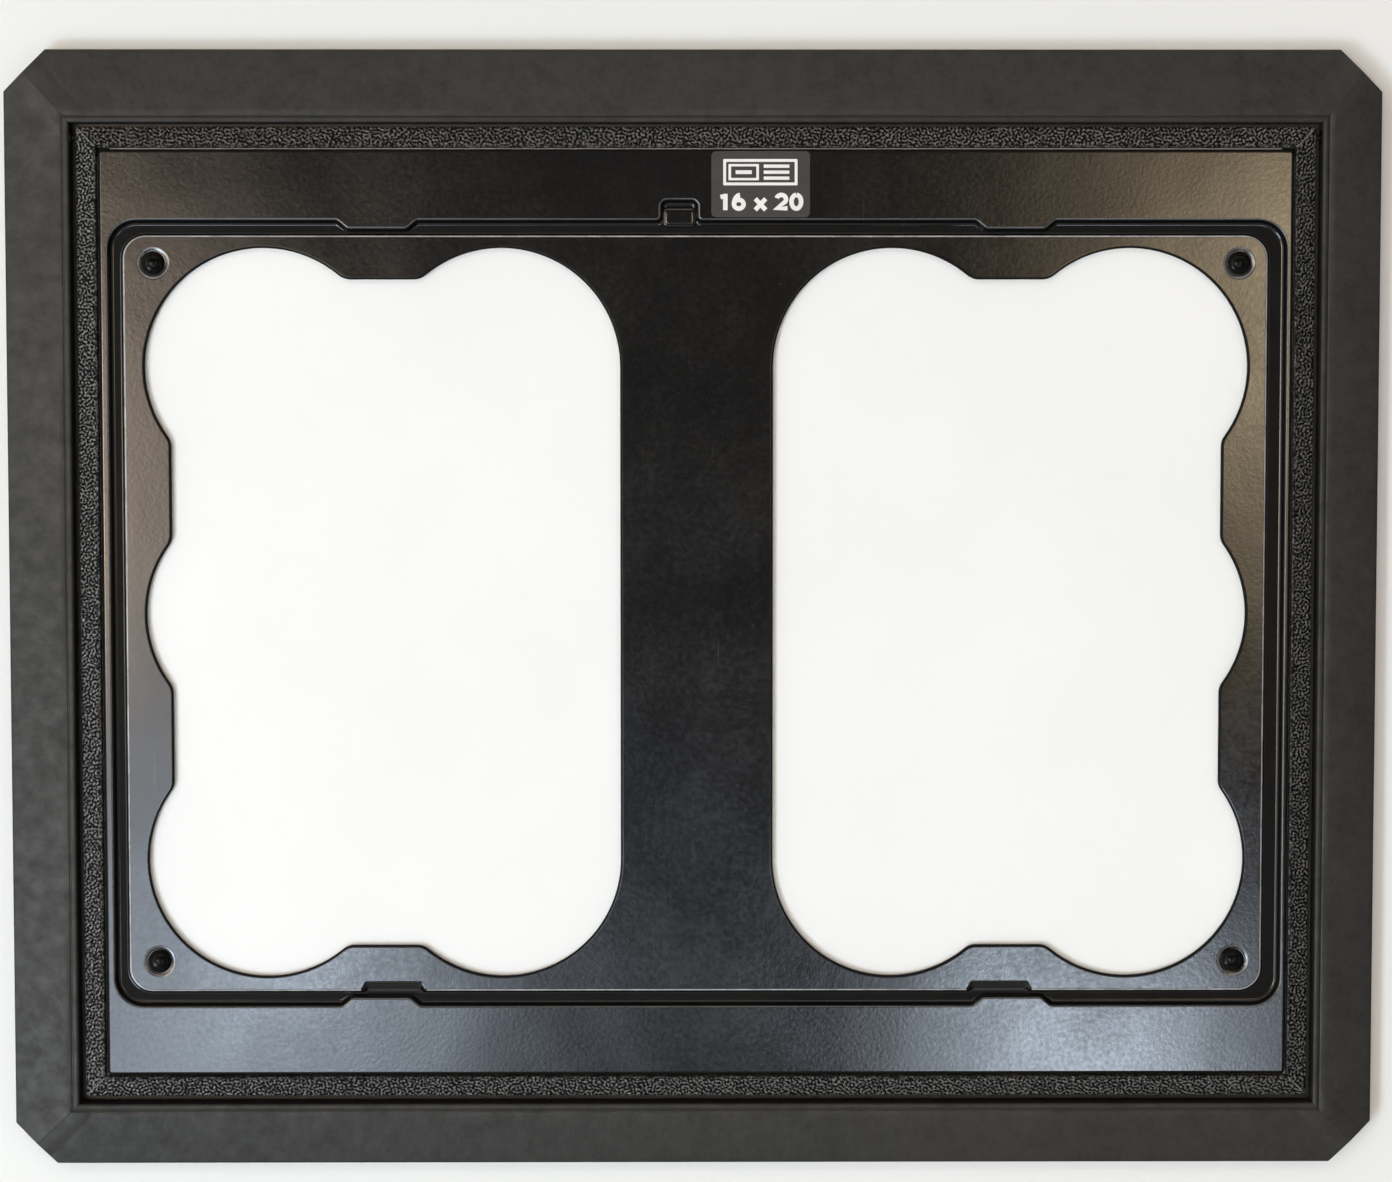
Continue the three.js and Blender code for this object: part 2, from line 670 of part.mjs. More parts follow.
function addLabel() {
  const outline = rectangle(LABEL.length, LABEL.depth, LABEL.radius);
  const y = (GROOVE.depth + PAN_DEPTH) / 4;
  const film = slab(outline, [], STRIP_TOP, STRIP_TOP + LABEL.thickness);
  addPiece(baseGroup, 'size_label', film, materials.labelFilm(), [LABEL_X, y, 0]);
}

// Pads between the board and the panel, one behind each flat of the openings.
function addPads() {
  const top = PANEL_TOP - SHEET;
  const endX = (LOBE_NEAR_X + LOBE_FAR_X) / 2;
  const endY = LOBE_Y + FLAT_OUT_Y + 8;
  const sideX = LOBE_FAR_X + FLAT_OUT_X + 9.5;
  const sideY = LOBE_Y / 2;
  const places = [];
  [-1, 1].forEach((sideways) => {
    [-1, 1].forEach((along) => {
      places.push([sideways * endX, along * endY, 24, 8]);
      places.push([sideways * sideX, along * sideY, 8, 24]);
    });
  });
  places.forEach(([x, y, length, depth], index) => {
    const pad = block(length, depth, BOARD_TOP, top);
    addPiece(baseGroup, `pan_pad_${index + 1}`, pad, materials.feltPad(), [x, y, 0]);
  });
}

addRails();
addCornerKeys();
addMask();
addBushes();
addTrim();
addBoard();
addHingeStubs();
addPaperGuides();
addPan();
addFeet();
addLabel();
addPads();

export default easel;
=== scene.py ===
"""Looks for the hinged enlarging easel, closed and lying on its working side, seen from above.

Lengths are metres in the CAD frame. Places come from the boxes of the CAD nodes. Details smaller
than a node are given in millimetres and turned into metres with MM.
"""

import math

import bmesh
import bpy
import numpy as np
from mathutils import Euler, Matrix, Vector
from mathutils.geometry import tessellate_polygon


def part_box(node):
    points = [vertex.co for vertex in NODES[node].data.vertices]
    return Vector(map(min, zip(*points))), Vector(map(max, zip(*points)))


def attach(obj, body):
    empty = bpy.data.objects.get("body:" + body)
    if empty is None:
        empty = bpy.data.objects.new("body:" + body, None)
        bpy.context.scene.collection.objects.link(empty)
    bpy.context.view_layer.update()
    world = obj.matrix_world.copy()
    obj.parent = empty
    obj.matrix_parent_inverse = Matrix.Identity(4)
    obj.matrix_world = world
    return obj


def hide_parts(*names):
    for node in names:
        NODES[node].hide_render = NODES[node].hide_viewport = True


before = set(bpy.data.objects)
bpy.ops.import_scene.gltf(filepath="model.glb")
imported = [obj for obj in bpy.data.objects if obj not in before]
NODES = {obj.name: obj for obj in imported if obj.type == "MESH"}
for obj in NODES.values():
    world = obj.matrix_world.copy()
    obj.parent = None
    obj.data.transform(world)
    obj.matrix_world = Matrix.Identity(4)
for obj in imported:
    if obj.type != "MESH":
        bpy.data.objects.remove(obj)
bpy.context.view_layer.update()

MM = 0.001


def lowest(node):
    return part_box(node)[0]


def highest(node):
    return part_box(node)[1]


# ---- places taken from the frame

# The covering stays this much inside the box of the CAD rails, to allow for rounding.
HAIR = 0.0005 * MM

# Rectangles as (low x, high x, low y, high y): the rim's outside and inside, and the base's outside.
OUTER = (
    lowest("frame_rail_left").x + HAIR,
    highest("frame_rail_right").x - HAIR,
    lowest("frame_rail_front").y + HAIR,
    highest("frame_rail_back").y - HAIR,
)
LIP = (
    highest("frame_rail_left").x,
    lowest("frame_rail_right").x,
    highest("frame_rail_front").y,
    lowest("frame_rail_back").y,
)
BASE = (
    lowest("base_trim_left").x,
    highest("base_trim_right").x,
    lowest("base_trim_front").y,
    highest("base_trim_back").y,
)
PAN_LOW, PAN_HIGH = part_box("bottom_pan")
BASE_CENTRE = ((BASE[0] + BASE[1]) / 2, (BASE[2] + BASE[3]) / 2)
LIP_TOP = highest("frame_rail_back").z
CREST_TOP = highest("base_trim_back").z
SKIRT_BOTTOM = lowest("base_trim_back").z
BOARD_TOP = highest("bed_board").z
SHEET = 0.8 * MM
STRIP_TOP = PAN_HIGH.z
PANEL_TOP = highest("pan_pad_1").z + SHEET
GROOVE_FLOOR = PAN_LOW.z + SHEET

# Press work of the pan, in millimetres from the base's centre. The openings are five lobes joined by
# flats, and out_x and out_y are how far the flats lie from the centres of their lobes.
GROOVE = {"x": 247.75, "y": 167.0, "radius": 12.5, "right_shift": 1.2}
PANEL = {"x": 241.0, "y": 160.0, "radius": 9.5, "right_shift": -0.7}
JOG = {"at": 134.3, "base": 16.6, "flat": 12.2, "depth": 3.6, "radius": 2.6}
POCKET = {"at": -7.2, "half": 8.2, "depth": 8.5, "radius": 3.2}
RECESS = {"at": 129.0, "half": 13.4, "depth": 3.4, "slope": 1.8, "radius": 1.5}
LOBE = {"radius": 50.0, "near_x": 82.2, "far_x": 182.4, "y": 104.4, "shift_y": 0.6}
FLAT = {"out_x": 39.2, "out_y": 36.8, "fillet": 8.0}
DIMPLE_RADIUS = 6.35
FOOT_SEAT = PANEL_TOP - 0.6 * MM

# Base trim and its grain, in millimetres. The cell is the step of the tile the grain is stored in.
TRIM_WIDTH = 9.0
GRAIN_WAVELENGTH = 1.55
GRAIN_CELL = 0.2
GRAIN_DEPTH = 0.26


# ---- outlines, in millimetres


def around(centre, radius, angle):
    """The point of a circle at an angle."""
    return (centre[0] + radius * math.cos(angle), centre[1] + radius * math.sin(angle))


def arc(centre, radius, start, end, steps):
    return [around(centre, radius, angle) for angle in np.linspace(start, end, steps + 1)]


def rounded(corners):
    """Rounds the corners (x, y, radius) of a polygon, always with the same number of points."""
    points = []
    for index, (x, y, radius) in enumerate(corners):
        here = Vector((x, y))
        back = (Vector(corners[index - 1][:2]) - here).normalized()
        ahead = (Vector(corners[(index + 1) % len(corners)][:2]) - here).normalized()
        turn = math.pi - math.acos(max(-1.0, min(1.0, back.dot(ahead))))
        centre = here + (back + ahead).normalized() * radius / math.cos(turn / 2)
        start = here + back * radius * math.tan(turn / 2)
        side = 1 if back.y * ahead.x - back.x * ahead.y > 0 else -1
        angle = math.atan2(start.y - centre.y, start.x - centre.x)
        points += arc(centre, radius, angle, angle + side * turn, 12)
    return points


def circle(centre, radius, steps):
    return arc(centre, radius, 0, 2 * math.pi, steps)[:-1]


def box_outline(left, right, low, high, radius):
    """Rounded rectangle, counter-clockwise."""
    corners = ((left, low), (right, low), (right, high), (left, high))
    return rounded([(x, y, radius) for x, y in corners])


def rim_outline(outset):
    x = (PAN_HIGH.x - PAN_LOW.x) / 2 / MM + outset
    y = (PAN_HIGH.y - PAN_LOW.y) / 2 / MM + outset
    return box_outline(-x, x, -y, y, 2.0 + outset)


def groove_outline(outset):
    """Outer edge of the groove, with two jogs in front, and two jogs and a pocket at the back."""
    x = GROOVE["x"] + outset
    y = GROOVE["y"] + outset
    radius = GROOVE["radius"] + outset
    sideways = 0.36 * outset
    base = JOG["base"] - sideways
    flat = JOG["flat"] - sideways
    wide = max(0.1, JOG["radius"] + outset)
    tight = JOG["radius"] - outset
    inner = max(y - JOG["depth"], PANEL["y"] + 1.8)

    def jog(centre, side):
        return [
            (centre - side * base, -side * y, wide),
            (centre - side * flat, -side * inner, tight),
            (centre + side * flat, -side * inner, tight),
            (centre + side * base, -side * y, wide),
        ]

    right = POCKET["at"] + POCKET["half"] + outset
    left = POCKET["at"] - POCKET["half"] - outset
    end = y + POCKET["depth"]
    end_radius = POCKET["radius"] + outset
    far_x = x + GROOVE["right_shift"]
    mouth = 1.6 - outset
    return rounded(
        [(-x, -y, radius)]
        + jog(-JOG["at"], 1)
        + jog(JOG["at"], 1)
        + [(far_x, -y, radius), (far_x, y, radius)]
        + jog(JOG["at"], -1)
        + [(right, y, mouth), (right, end, end_radius), (left, end, end_radius), (left, y, mouth)]
        + jog(-JOG["at"], -1)
        + [(-x, y, radius)]
    )


def panel_outline(outset, recess_depth):
    """Edge of the panel; its front edge dips inwards at two recesses by recess_depth."""
    x = PANEL["x"] + outset
    y = PANEL["y"] + outset
    radius = PANEL["radius"] + outset
    half = RECESS["half"] - outset

    def recess(centre):
        bottom = -y + recess_depth
        slope, turn = RECESS["slope"], RECESS["radius"]
        return [
            (centre - half, -y, turn),
            (centre - half + slope, bottom, turn),
            (centre + half - slope, bottom, turn),
            (centre + half, -y, turn),
        ]

    far_x = x + PANEL["right_shift"]
    return rounded(
        [(-x, -y, radius)]
        + recess(-RECESS["at"])
        + recess(RECESS["at"])
        + [(far_x, -y, radius), (far_x, y, radius), (-x, y, radius)]
    )


def opening_outline(outset):
    """Right-hand opening, counter-clockwise: five lobes of one radius joined by filleted flats."""
    radius = LOBE["radius"] + outset
    fillet = FLAT["fillet"] - outset
    to_fillet = radius + fillet
    near, far, y = LOBE["near_x"], LOBE["far_x"], LOBE["y"]
    centres = [(near, -y), (far, -y), (far, 0.0), (far, y), (near, y)]
    end_flat = (0.0, FLAT["out_x"])
    flats = [(-math.pi / 2, FLAT["out_y"]), end_flat, end_flat, (math.pi / 2, FLAT["out_y"])]
    points = []
    start = -math.pi
    for centre, following, (facing, out) in zip(centres, centres[1:], flats):
        lean = math.acos((out + FLAT["fillet"]) / to_fillet)
        leave = around(centre, to_fillet, facing + lean)
        arrive = around(following, to_fillet, facing - lean)
        inward = facing + math.pi
        points += arc(centre, radius, start, facing + lean, 40)
        points += arc(leave, fillet, inward + lean, inward, 7)[1:]
        points += arc(arrive, fillet, inward, inward - lean, 7)[:-1]
        start = facing - lean
    points += arc(centres[-1], radius, start, math.pi, 40)
    return [(px, py + LOBE["shift_y"]) for px, py in points]


def left_opening_outline(outset):
    return [(-px, py) for px, py in reversed(opening_outline(outset))]


# ---- mesh building


class Surface:
    """Collects rings and flat regions and turns them into one object."""

    def __init__(self):
        self.mesh = bmesh.new()

    def ring(self, outline, height):
        cx, cy = BASE_CENTRE
        return [self.mesh.verts.new((cx + x * MM, cy + y * MM, height)) for x, y in outline]

    def sweep(self, rings, material=0):
        """Joins each ring to the next with smooth quads."""
        for first, second in zip(rings, rings[1:]):
            count = len(first)
            for index in range(count):
                after = (index + 1) % count
                corners = (first[index], first[after], second[after], second[index])
                face = self.mesh.faces.new(corners)
                face.smooth = True
                face.material_index = material

    def tint(self, rings, material, where=lambda place: True):
        """Gives another material to the faces already swept between these rings."""
        for first, second in zip(rings, rings[1:]):
            span = set(first) | set(second)
            for vertex in first:
                for face in vertex.link_faces:
                    swept = all(corner in span for corner in face.verts)
                    if swept and where(face.calc_center_median()):
                        face.material_index = material

    def flat(self, loops, material=0):
        """Fills a flat region; the first loop is its outside and the others are holes."""
        vertices = [vertex for loop in loops for vertex in loop]
        places = [[vertex.co.copy() for vertex in loop] for loop in loops]
        for triangle in tessellate_polygon(places):
            face = self.mesh.faces.new([vertices[corner] for corner in triangle])
            face.material_index = material

    def finish(self, name, materials):
        """Makes the object, with its faces turned so that most of them look up."""
        bmesh.ops.remove_doubles(self.mesh, verts=self.mesh.verts, dist=1e-6)
        bmesh.ops.recalc_face_normals(self.mesh, faces=self.mesh.faces)
        upward = sum(face.normal.z * face.calc_area() for face in self.mesh.faces)
        if upward < 0:
            bmesh.ops.reverse_faces(self.mesh, faces=self.mesh.faces)
        data = bpy.data.meshes.new(name)
        self.mesh.to_mesh(data)
        self.mesh.free()
        return new_object(name, data, materials)


def new_object(name, data, materials):
    thing = bpy.data.objects.new(name, data)
    bpy.context.scene.collection.objects.link(thing)
    for material in materials:
        data.materials.append(material)
    return thing


def stand_for(piece, body, slot, *nodes):
    """Puts a piece on its body in place of the CAD nodes it covers. The slot is not used."""
    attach(piece, body)
    if nodes:
        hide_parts(*nodes)


def soften(piece, width):
    """Rounds a piece's edges a little, so that they catch the light."""
    edge = piece.modifiers.new("soft_edges", "BEVEL")
    edge.width = width * MM
    edge.segments = 2
    edge.limit_method = "ANGLE"
    edge.angle_limit = math.radians(50)


# ---- node materials


def opaque(colour):
    """Adds full opacity to an (r, g, b) colour, and leaves anything else as it is."""
    return (*colour, 1.0) if isinstance(colour, tuple) else colour


class Nodes:
    """Adds nodes to one node tree. Values are numbers, tuples or the outputs of other nodes."""

    def __init__(self, tree):
        self.tree = tree

    def new(self, kind, **settings):
        node = self.tree.nodes.new(kind)
        for key, value in settings.items():
            setattr(node, key, value)
        return node

    def link(self, source, target):
        self.tree.links.new(source, target)

    def fill(self, sockets, values):
        """Sets each socket to its value, or links it to the output it is given."""
        for socket, value in zip(sockets, values):
            if isinstance(value, (int, float, tuple)):
                socket.default_value = value
            else:
                self.link(value, socket)

    def maths(self, operation, first, second=0.0):
        node = self.new("ShaderNodeMath", operation=operation)
        self.fill(node.inputs, (first, second))
        return node.outputs["Value"]

    def vector_maths(self, operation, first, second):
        node = self.new("ShaderNodeVectorMath", operation=operation)
        self.fill(node.inputs, (first, second))
        return node.outputs["Value"] if operation == "DOT_PRODUCT" else node.outputs["Vector"]

    def scaled(self, vector, factor):
        node = self.new("ShaderNodeVectorMath", operation="SCALE")
        self.fill((node.inputs[0], node.inputs["Scale"]), (vector, factor))
        return node.outputs["Vector"]


class Shader(Nodes):
    """Builds one procedural material. Its patterns are sized in millimetres."""

    def __init__(self, name):
        self.material = bpy.data.materials.new(name)
        self.material.use_nodes = True
        super().__init__(self.material.node_tree)
        self.surface = self.tree.nodes["Principled BSDF"]
        self.place = self.new("ShaderNodeTexCoord").outputs["Object"]
        self.bump_normal = None

    def noise(self, wavelength, detail=3.0, roughness=0.55, stretch=None):
        """Noise with features about one wavelength across, in millimetres."""
        node = self.new("ShaderNodeTexNoise")
        node.inputs["Scale"].default_value = 1.0 / (wavelength * MM)
        node.inputs["Detail"].default_value = detail
        node.inputs["Roughness"].default_value = roughness
        source = self.place
        if stretch is not None:
            mapping = self.new("ShaderNodeMapping")
            mapping.inputs["Scale"].default_value = stretch
            self.link(source, mapping.inputs["Vector"])
            source = mapping.outputs["Vector"]
        self.link(source, node.inputs["Vector"])
        return node.outputs["Fac"]

    def cells(self, size):
        """Distance from scattered points about one size apart, in millimetres."""
        node = self.new("ShaderNodeTexVoronoi", feature="F1")
        node.inputs["Scale"].default_value = 1.0 / (size * MM)
        self.link(self.place, node.inputs["Vector"])
        return node.outputs["Distance"]

    def attribute(self, name):
        return self.new("ShaderNodeAttribute", attribute_name=name).outputs["Fac"]

    def remap(self, source, low, high, to_low=0.0, to_high=1.0):
        node = self.new("ShaderNodeMapRange")
        node.inputs["From Min"].default_value = low
        node.inputs["From Max"].default_value = high
        node.inputs["To Min"].default_value = to_low
        node.inputs["To Max"].default_value = to_high
        self.link(source, node.inputs["Value"])
        return node.outputs["Result"]

    def mix(self, factor, first, second):
        """Mixes two colours, each an (r, g, b) tuple or an output."""
        node = self.new("ShaderNodeMix", data_type="RGBA")
        sockets = (node.inputs[0], node.inputs[6], node.inputs[7])
        self.fill(sockets, (factor, opaque(first), opaque(second)))
        return node.outputs[2]

    def bump(self, height, depth, strength=1.0):
        """Adds a bump whose full height is depth, in millimetres."""
        node = self.new("ShaderNodeBump")
        node.inputs["Strength"].default_value = strength
        node.inputs["Distance"].default_value = depth * MM
        self.link(height, node.inputs["Height"])
        if self.bump_normal is not None:
            self.link(self.bump_normal, node.inputs["Normal"])
        self.bump_normal = node.outputs["Normal"]
        self.link(self.bump_normal, self.surface.inputs["Normal"])

    def set(self, **values):
        names = {
            "colour": "Base Color",
            "roughness": "Roughness",
            "metal": "Metallic",
            "specular": "Specular IOR Level",
            "sheen": "Sheen Weight",
        }
        for key, value in values.items():
            self.fill([self.surface.inputs[names[key]]], [opaque(value)])


def frame_vinyl():
    """Matt black covering: cloudy mottling, soft wrinkles, a tight grain and a few rubbed specks."""
    shader = Shader("frame_vinyl")
    clouds = shader.remap(shader.noise(38, 4, 0.6), 0.36, 0.64)
    blotches = shader.remap(shader.noise(8, 4, 0.65), 0.36, 0.66)
    tone = shader.mix(clouds, (0.0042, 0.0037, 0.0033), (0.0106, 0.0095, 0.0086))
    tone = shader.mix(shader.maths("MULTIPLY", blotches, 0.5), tone, (0.0225, 0.0206, 0.0186))
    pores = shader.remap(shader.noise(2.4, 3, 0.65), 0.36, 0.64)
    tone = shader.mix(shader.maths("MULTIPLY", pores, 0.3), tone, (0.0300, 0.0272, 0.0248))
    fold = shader.maths("MULTIPLY", shader.attribute("mark"), 0.14)
    tone = shader.mix(fold, tone, (0.030, 0.0275, 0.026))
    specks = shader.remap(shader.cells(9), 0.0, 0.035, 1.0, 0.0)
    rubbed = shader.maths("MULTIPLY", specks, shader.remap(shader.noise(30), 0.5, 0.62))
    shader.set(colour=shader.mix(rubbed, tone, (0.075, 0.072, 0.068)))
    shader.set(roughness=shader.remap(blotches, 0, 1, 0.60, 0.46), specular=0.45)
    shader.bump(shader.noise(0.7, 3, 0.6), 0.05, 0.6)
    shader.bump(shader.noise(7, 3, 0.6), 0.55, 0.55)
    return shader.material


def grain_vinyl():
    """Coarse leather grain, glossy on its ridge tops and dull between them, with a painted highlight on
    the ridge tops and painted shade between them.
    """
    shader = Shader("grain_vinyl")
    height = shader.maths("DIVIDE", shader.attribute("raised"), GRAIN_DEPTH)
    fine = shader.remap(shader.noise(1.0, 3, 0.7), 0.35, 0.65, -0.8, 0.8)
    ridge = shader.remap(shader.maths("ADD", height, fine), -0.1, 1.35)
    # Painted highlight and shade: the ridge tops are much lighter than the black between them.
    tone = shader.mix(ridge, (0.0022, 0.0021, 0.0021), (0.200, 0.195, 0.192))
    # Painted highlight along the mitre seams.
    tone = shader.mix(shader.attribute("mark"), tone, (0.26, 0.26, 0.26))
    shader.set(colour=tone, roughness=shader.remap(ridge, 0, 1, 0.55, 0.18))
    shader.set(specular=shader.remap(ridge, 0, 1, 0.08, 0.85))
    shader.bump(shader.noise(0.9, 2, 0.6), 0.25, 0.9)
    return shader.material


def gloss_enamel():
    """Glossy black enamel over pressed steel: orange peel, slow waves, dust and hairline scratches."""
    shader = Shader("gloss_enamel")
    haze = shader.remap(shader.noise(45, 5, 0.6), 0.35, 0.7)
    scratch_field = shader.noise(1.2, 2, 0.5, stretch=(1.0, 0.03, 1.0))
    scratches = shader.remap(scratch_field, 0.70, 0.74)
    scratches = shader.maths("MULTIPLY", scratches, shader.remap(shader.noise(55), 0.55, 0.7))
    dust = shader.remap(shader.cells(24), 0.0, 0.018, 1.0, 0.0)
    marks = shader.maths("MAXIMUM", shader.maths("MULTIPLY", scratches, 0.35), dust)
    tone = shader.mix(haze, (0.0030, 0.0030, 0.0036), (0.0048, 0.0047, 0.0050))
    shader.set(colour=shader.mix(marks, tone, (0.12, 0.12, 0.12)))
    fine = shader.remap(shader.noise(2.0, 2, 0.6), 0.32, 0.68, -0.5, 0.5)
    uneven = shader.remap(shader.maths("ADD", haze, fine), -0.4, 1.4)
    shader.set(roughness=shader.remap(uneven, 0, 1, 0.07, 0.165), specular=0.5)
    shader.bump(shader.noise(1.7, 3, 0.6), 0.016)
    shader.bump(shader.noise(80, 2, 0.4), 0.35)
    return shader.material


def painted_highlight_enamel(name, dark, light, metal):
    """Lighter enamel for the turned edges of the pressing: a painted highlight, patchy, with as much
    metal as given so that it glints.
    """
    shader = Shader(name)
    patchiness = shader.remap(shader.noise(9, 4), 0.3, 0.7)
    shader.set(colour=shader.mix(patchiness, (dark, dark, dark * 1.06), (light, light, light * 1.06)))
    shader.set(roughness=shader.remap(patchiness, 0, 1, 0.24, 0.32), specular=0.7, metal=metal)
    shader.bump(shader.noise(0.8, 2), 0.01, 0.5)
    return shader.material


def dull_shade_enamel():
    """Dull black for the groove's floor, the rim's turned-down roll and the openings' turned-down
    edges: painted shade in these hollows and gaps, with a cloudy tone.
    """
    shader = Shader("dull_shade_enamel")
    mottle = shader.remap(shader.noise(18, 4), 0.4, 0.7)
    shader.set(colour=shader.mix(mottle, (0.0030, 0.0028, 0.0028), (0.0065, 0.0058, 0.0052)))
    shader.set(roughness=0.6, specular=0.12)
    shader.bump(shader.noise(1.3, 3), 0.05, 0.6)
    return shader.material


def white_laminate():
    shader = Shader("white_laminate")
    clouds = shader.remap(shader.noise(90, 3), 0.3, 0.7)
    tone = shader.mix(clouds, (0.870, 0.877, 0.890), (0.900, 0.907, 0.920))
    specks = shader.remap(shader.cells(26), 0.0, 0.012, 1.0, 0.0)
    shader.set(colour=shader.mix(shader.maths("MULTIPLY", specks, 0.35), tone, (0.45, 0.44, 0.42)))
    shader.set(roughness=0.38, specular=0.35)
    shader.bump(shader.noise(0.8, 2), 0.012, 0.5)
    return shader.material


def smooth_rubber():
    shader = Shader("smooth_rubber")
    bloom = shader.remap(shader.noise(2.2, 3), 0.4, 0.75)
    shader.set(colour=shader.mix(bloom, (0.0025, 0.0025, 0.0027), (0.006, 0.006, 0.006)))
    shader.set(roughness=shader.remap(bloom, 0, 1, 0.16, 0.22), specular=0.09)
    shader.bump(shader.noise(0.5, 2), 0.02, 0.5)
    return shader.material


def metal(name, colour, dark, roughness, grain):
    """Plated or turned metal with a faint directional grain and tarnish clouds."""
    shader = Shader(name)
    tarnish = shader.remap(shader.noise(4, 4), 0.35, 0.7)
    lines = shader.noise(grain, 2, 0.5, stretch=(0.1, 1.0, 1.0))
    shader.set(colour=shader.mix(tarnish, colour, dark), metal=1.0)
    shader.set(roughness=shader.remap(lines, 0.3, 0.7, roughness, roughness + 0.15))
    shader.bump(lines, 0.01, 0.6)
    return shader.material


def satin_paint(name, colour, worn):
    """Satin paint, slightly worn on cloudy patches."""
    shader = Shader(name)
    patchiness = shader.remap(shader.noise(25, 5), 0.55, 0.75)
    shader.set(colour=shader.mix(patchiness, colour, worn), roughness=0.42, specular=0.45)
    shader.bump(shader.noise(0.9, 3), 0.02, 0.5)
    return shader.material


def printed_film(name, colour, faded, roughness):
    shader = Shader(name)
    fade = shader.remap(shader.noise(7, 4), 0.35, 0.7)
    shader.set(colour=shader.mix(fade, colour, faded), roughness=roughness, specular=0.4)
    shader.bump(shader.noise(0.8, 2), 0.01, 0.5)
    return shader.material


def felt():
    shader = Shader("felt_pad")
    fibres = shader.noise(0.4, 5, 0.7)
    tone = shader.mix(fibres, (0.02, 0.02, 0.02), (0.06, 0.06, 0.058))
    shader.set(colour=tone, roughness=0.95, sheen=0.3)
    shader.bump(fibres, 0.12, 0.9)
    return shader.material


def pale_table():
    shader = Shader("pale_table")
    clouds = shader.remap(shader.noise(400, 2), 0.3, 0.7)
    shader.set(colour=shader.mix(clouds, (0.84, 0.845, 0.85), (0.86, 0.865, 0.87)), roughness=0.7)
    return shader.material


# ---- bottom pan


def pressed_wall(depth, shoulder, fillet, steepness):
    """Section of a pressed step as (run, drop) pairs: a shoulder arc, a draft and a fillet."""
    steep = math.radians(steepness)
    angles = [steep * step / 6 for step in range(7)]
    top = [(shoulder * math.sin(a), shoulder * (1 - math.cos(a))) for a in angles]
    straight = depth - (shoulder + fillet) * (1 - math.cos(steep))
    run = top[-1][0] + straight / math.tan(steep) + fillet * math.sin(steep)
    foot = [(run - fillet * math.sin(a), depth - fillet * (1 - math.cos(a))) for a in angles[::-1]]
    return top + foot


# Places of the pan's materials in the list that build_pan is given.
ENAMEL, PAINTED_SHADE, SHOULDER_HIGHLIGHT, DIMPLE_HIGHLIGHT, EDGE_HIGHLIGHT = range(5)


def add_rim(pan):
    """Rolled rim down to the trim's inner wall. Gives back its innermost ring."""
    section = [(-1.5, 0), (-1.2, 0), (-0.6, -0.1), (-0.2, -0.35), (0, -0.8), (0, -3.4)]
    rings = [pan.ring(rim_outline(outset), STRIP_TOP + rise * MM) for outset, rise in section]
    pan.sweep(rings[:2], ENAMEL)
    # Beyond its first ring the roll is dull black: painted shade in the gap beside the trim.
    pan.sweep(rings[1:], PAINTED_SHADE)
    return rings[0]


def add_groove_wall(pan):
    """Outer wall of the groove, with a painted highlight along its shoulder. Gives back its top and
    bottom rings.
    """
    depth = (STRIP_TOP - GROOVE_FLOOR) / MM
    section = pressed_wall(depth, shoulder=1.1, fillet=1.5, steepness=62)
    rings = [pan.ring(groove_outline(0.45 - run), STRIP_TOP - drop * MM) for run, drop in section]
    pan.sweep(rings, ENAMEL)
    pan.tint(rings[1:4], SHOULDER_HIGHLIGHT)
    return rings[0], rings[-1]


def outside_recess(place):
    """True on the panel's edge away from the two recesses in front."""
    along = abs(abs(place.x - BASE_CENTRE[0]) - RECESS["at"] * MM)
    return along > (RECESS["half"] + 0.6) * MM or place.y > BASE_CENTRE[1]


def add_panel_edge(pan):
    """Edge of the raised panel, with a painted highlight along it."""
    depth = (PANEL_TOP - GROOVE_FLOOR) / MM
    rings = []
    for run, drop in pressed_wall(depth, shoulder=1.0, fillet=0.9, steepness=64):
        # A recess of no depth has no corners to round, so its depth never reaches zero.
        dip = RECESS["depth"] * max(0.06, 1 - drop / depth) ** 0.6
        rings.append(pan.ring(panel_outline(run - 0.6, dip), PANEL_TOP - drop * MM))
    pan.sweep(rings, ENAMEL)
    pan.tint(rings[1:6], EDGE_HIGHLIGHT, outside_recess)
    return rings[0], rings[-1]


def add_opening(pan, outline):
    """Edge of an opening, turned down to the board. Gives back its top ring."""
    section = [(1.3, 0), (0.85, 0), (0.35, -0.05), (0.1, -0.2), (0, -0.45), (0, -1.3), (0.6, -1.3)]
    rings = [pan.ring(outline(outset), PANEL_TOP + rise * MM) for outset, rise in section]
    pan.sweep(rings[:2], ENAMEL)
    # The turned-down edge is dull black: painted shade that outlines the opening.
    pan.sweep(rings[1:], PAINTED_SHADE)
    return rings[0]


def add_dimple(pan, foot):
    """Shallow dimple round a foot, with a painted highlight on its slope."""
    slope = [(0.6, 0), (0.3, -0.012), (0.0, -0.07), (-0.3, -0.19), (-0.6, -0.31)]
    bottom = [(-0.9, -0.385), (-1.2, -0.4), (-4.0, -0.4)]
    rings = []
    for outset, rise in slope + bottom:
        outline = circle(centre_of(foot), DIMPLE_RADIUS + outset, 48)
        rings.append(pan.ring(outline, PANEL_TOP + rise * MM))
    pan.sweep(rings, ENAMEL)
    pan.tint(rings[1:5], DIMPLE_HIGHLIGHT)
    return rings[0]


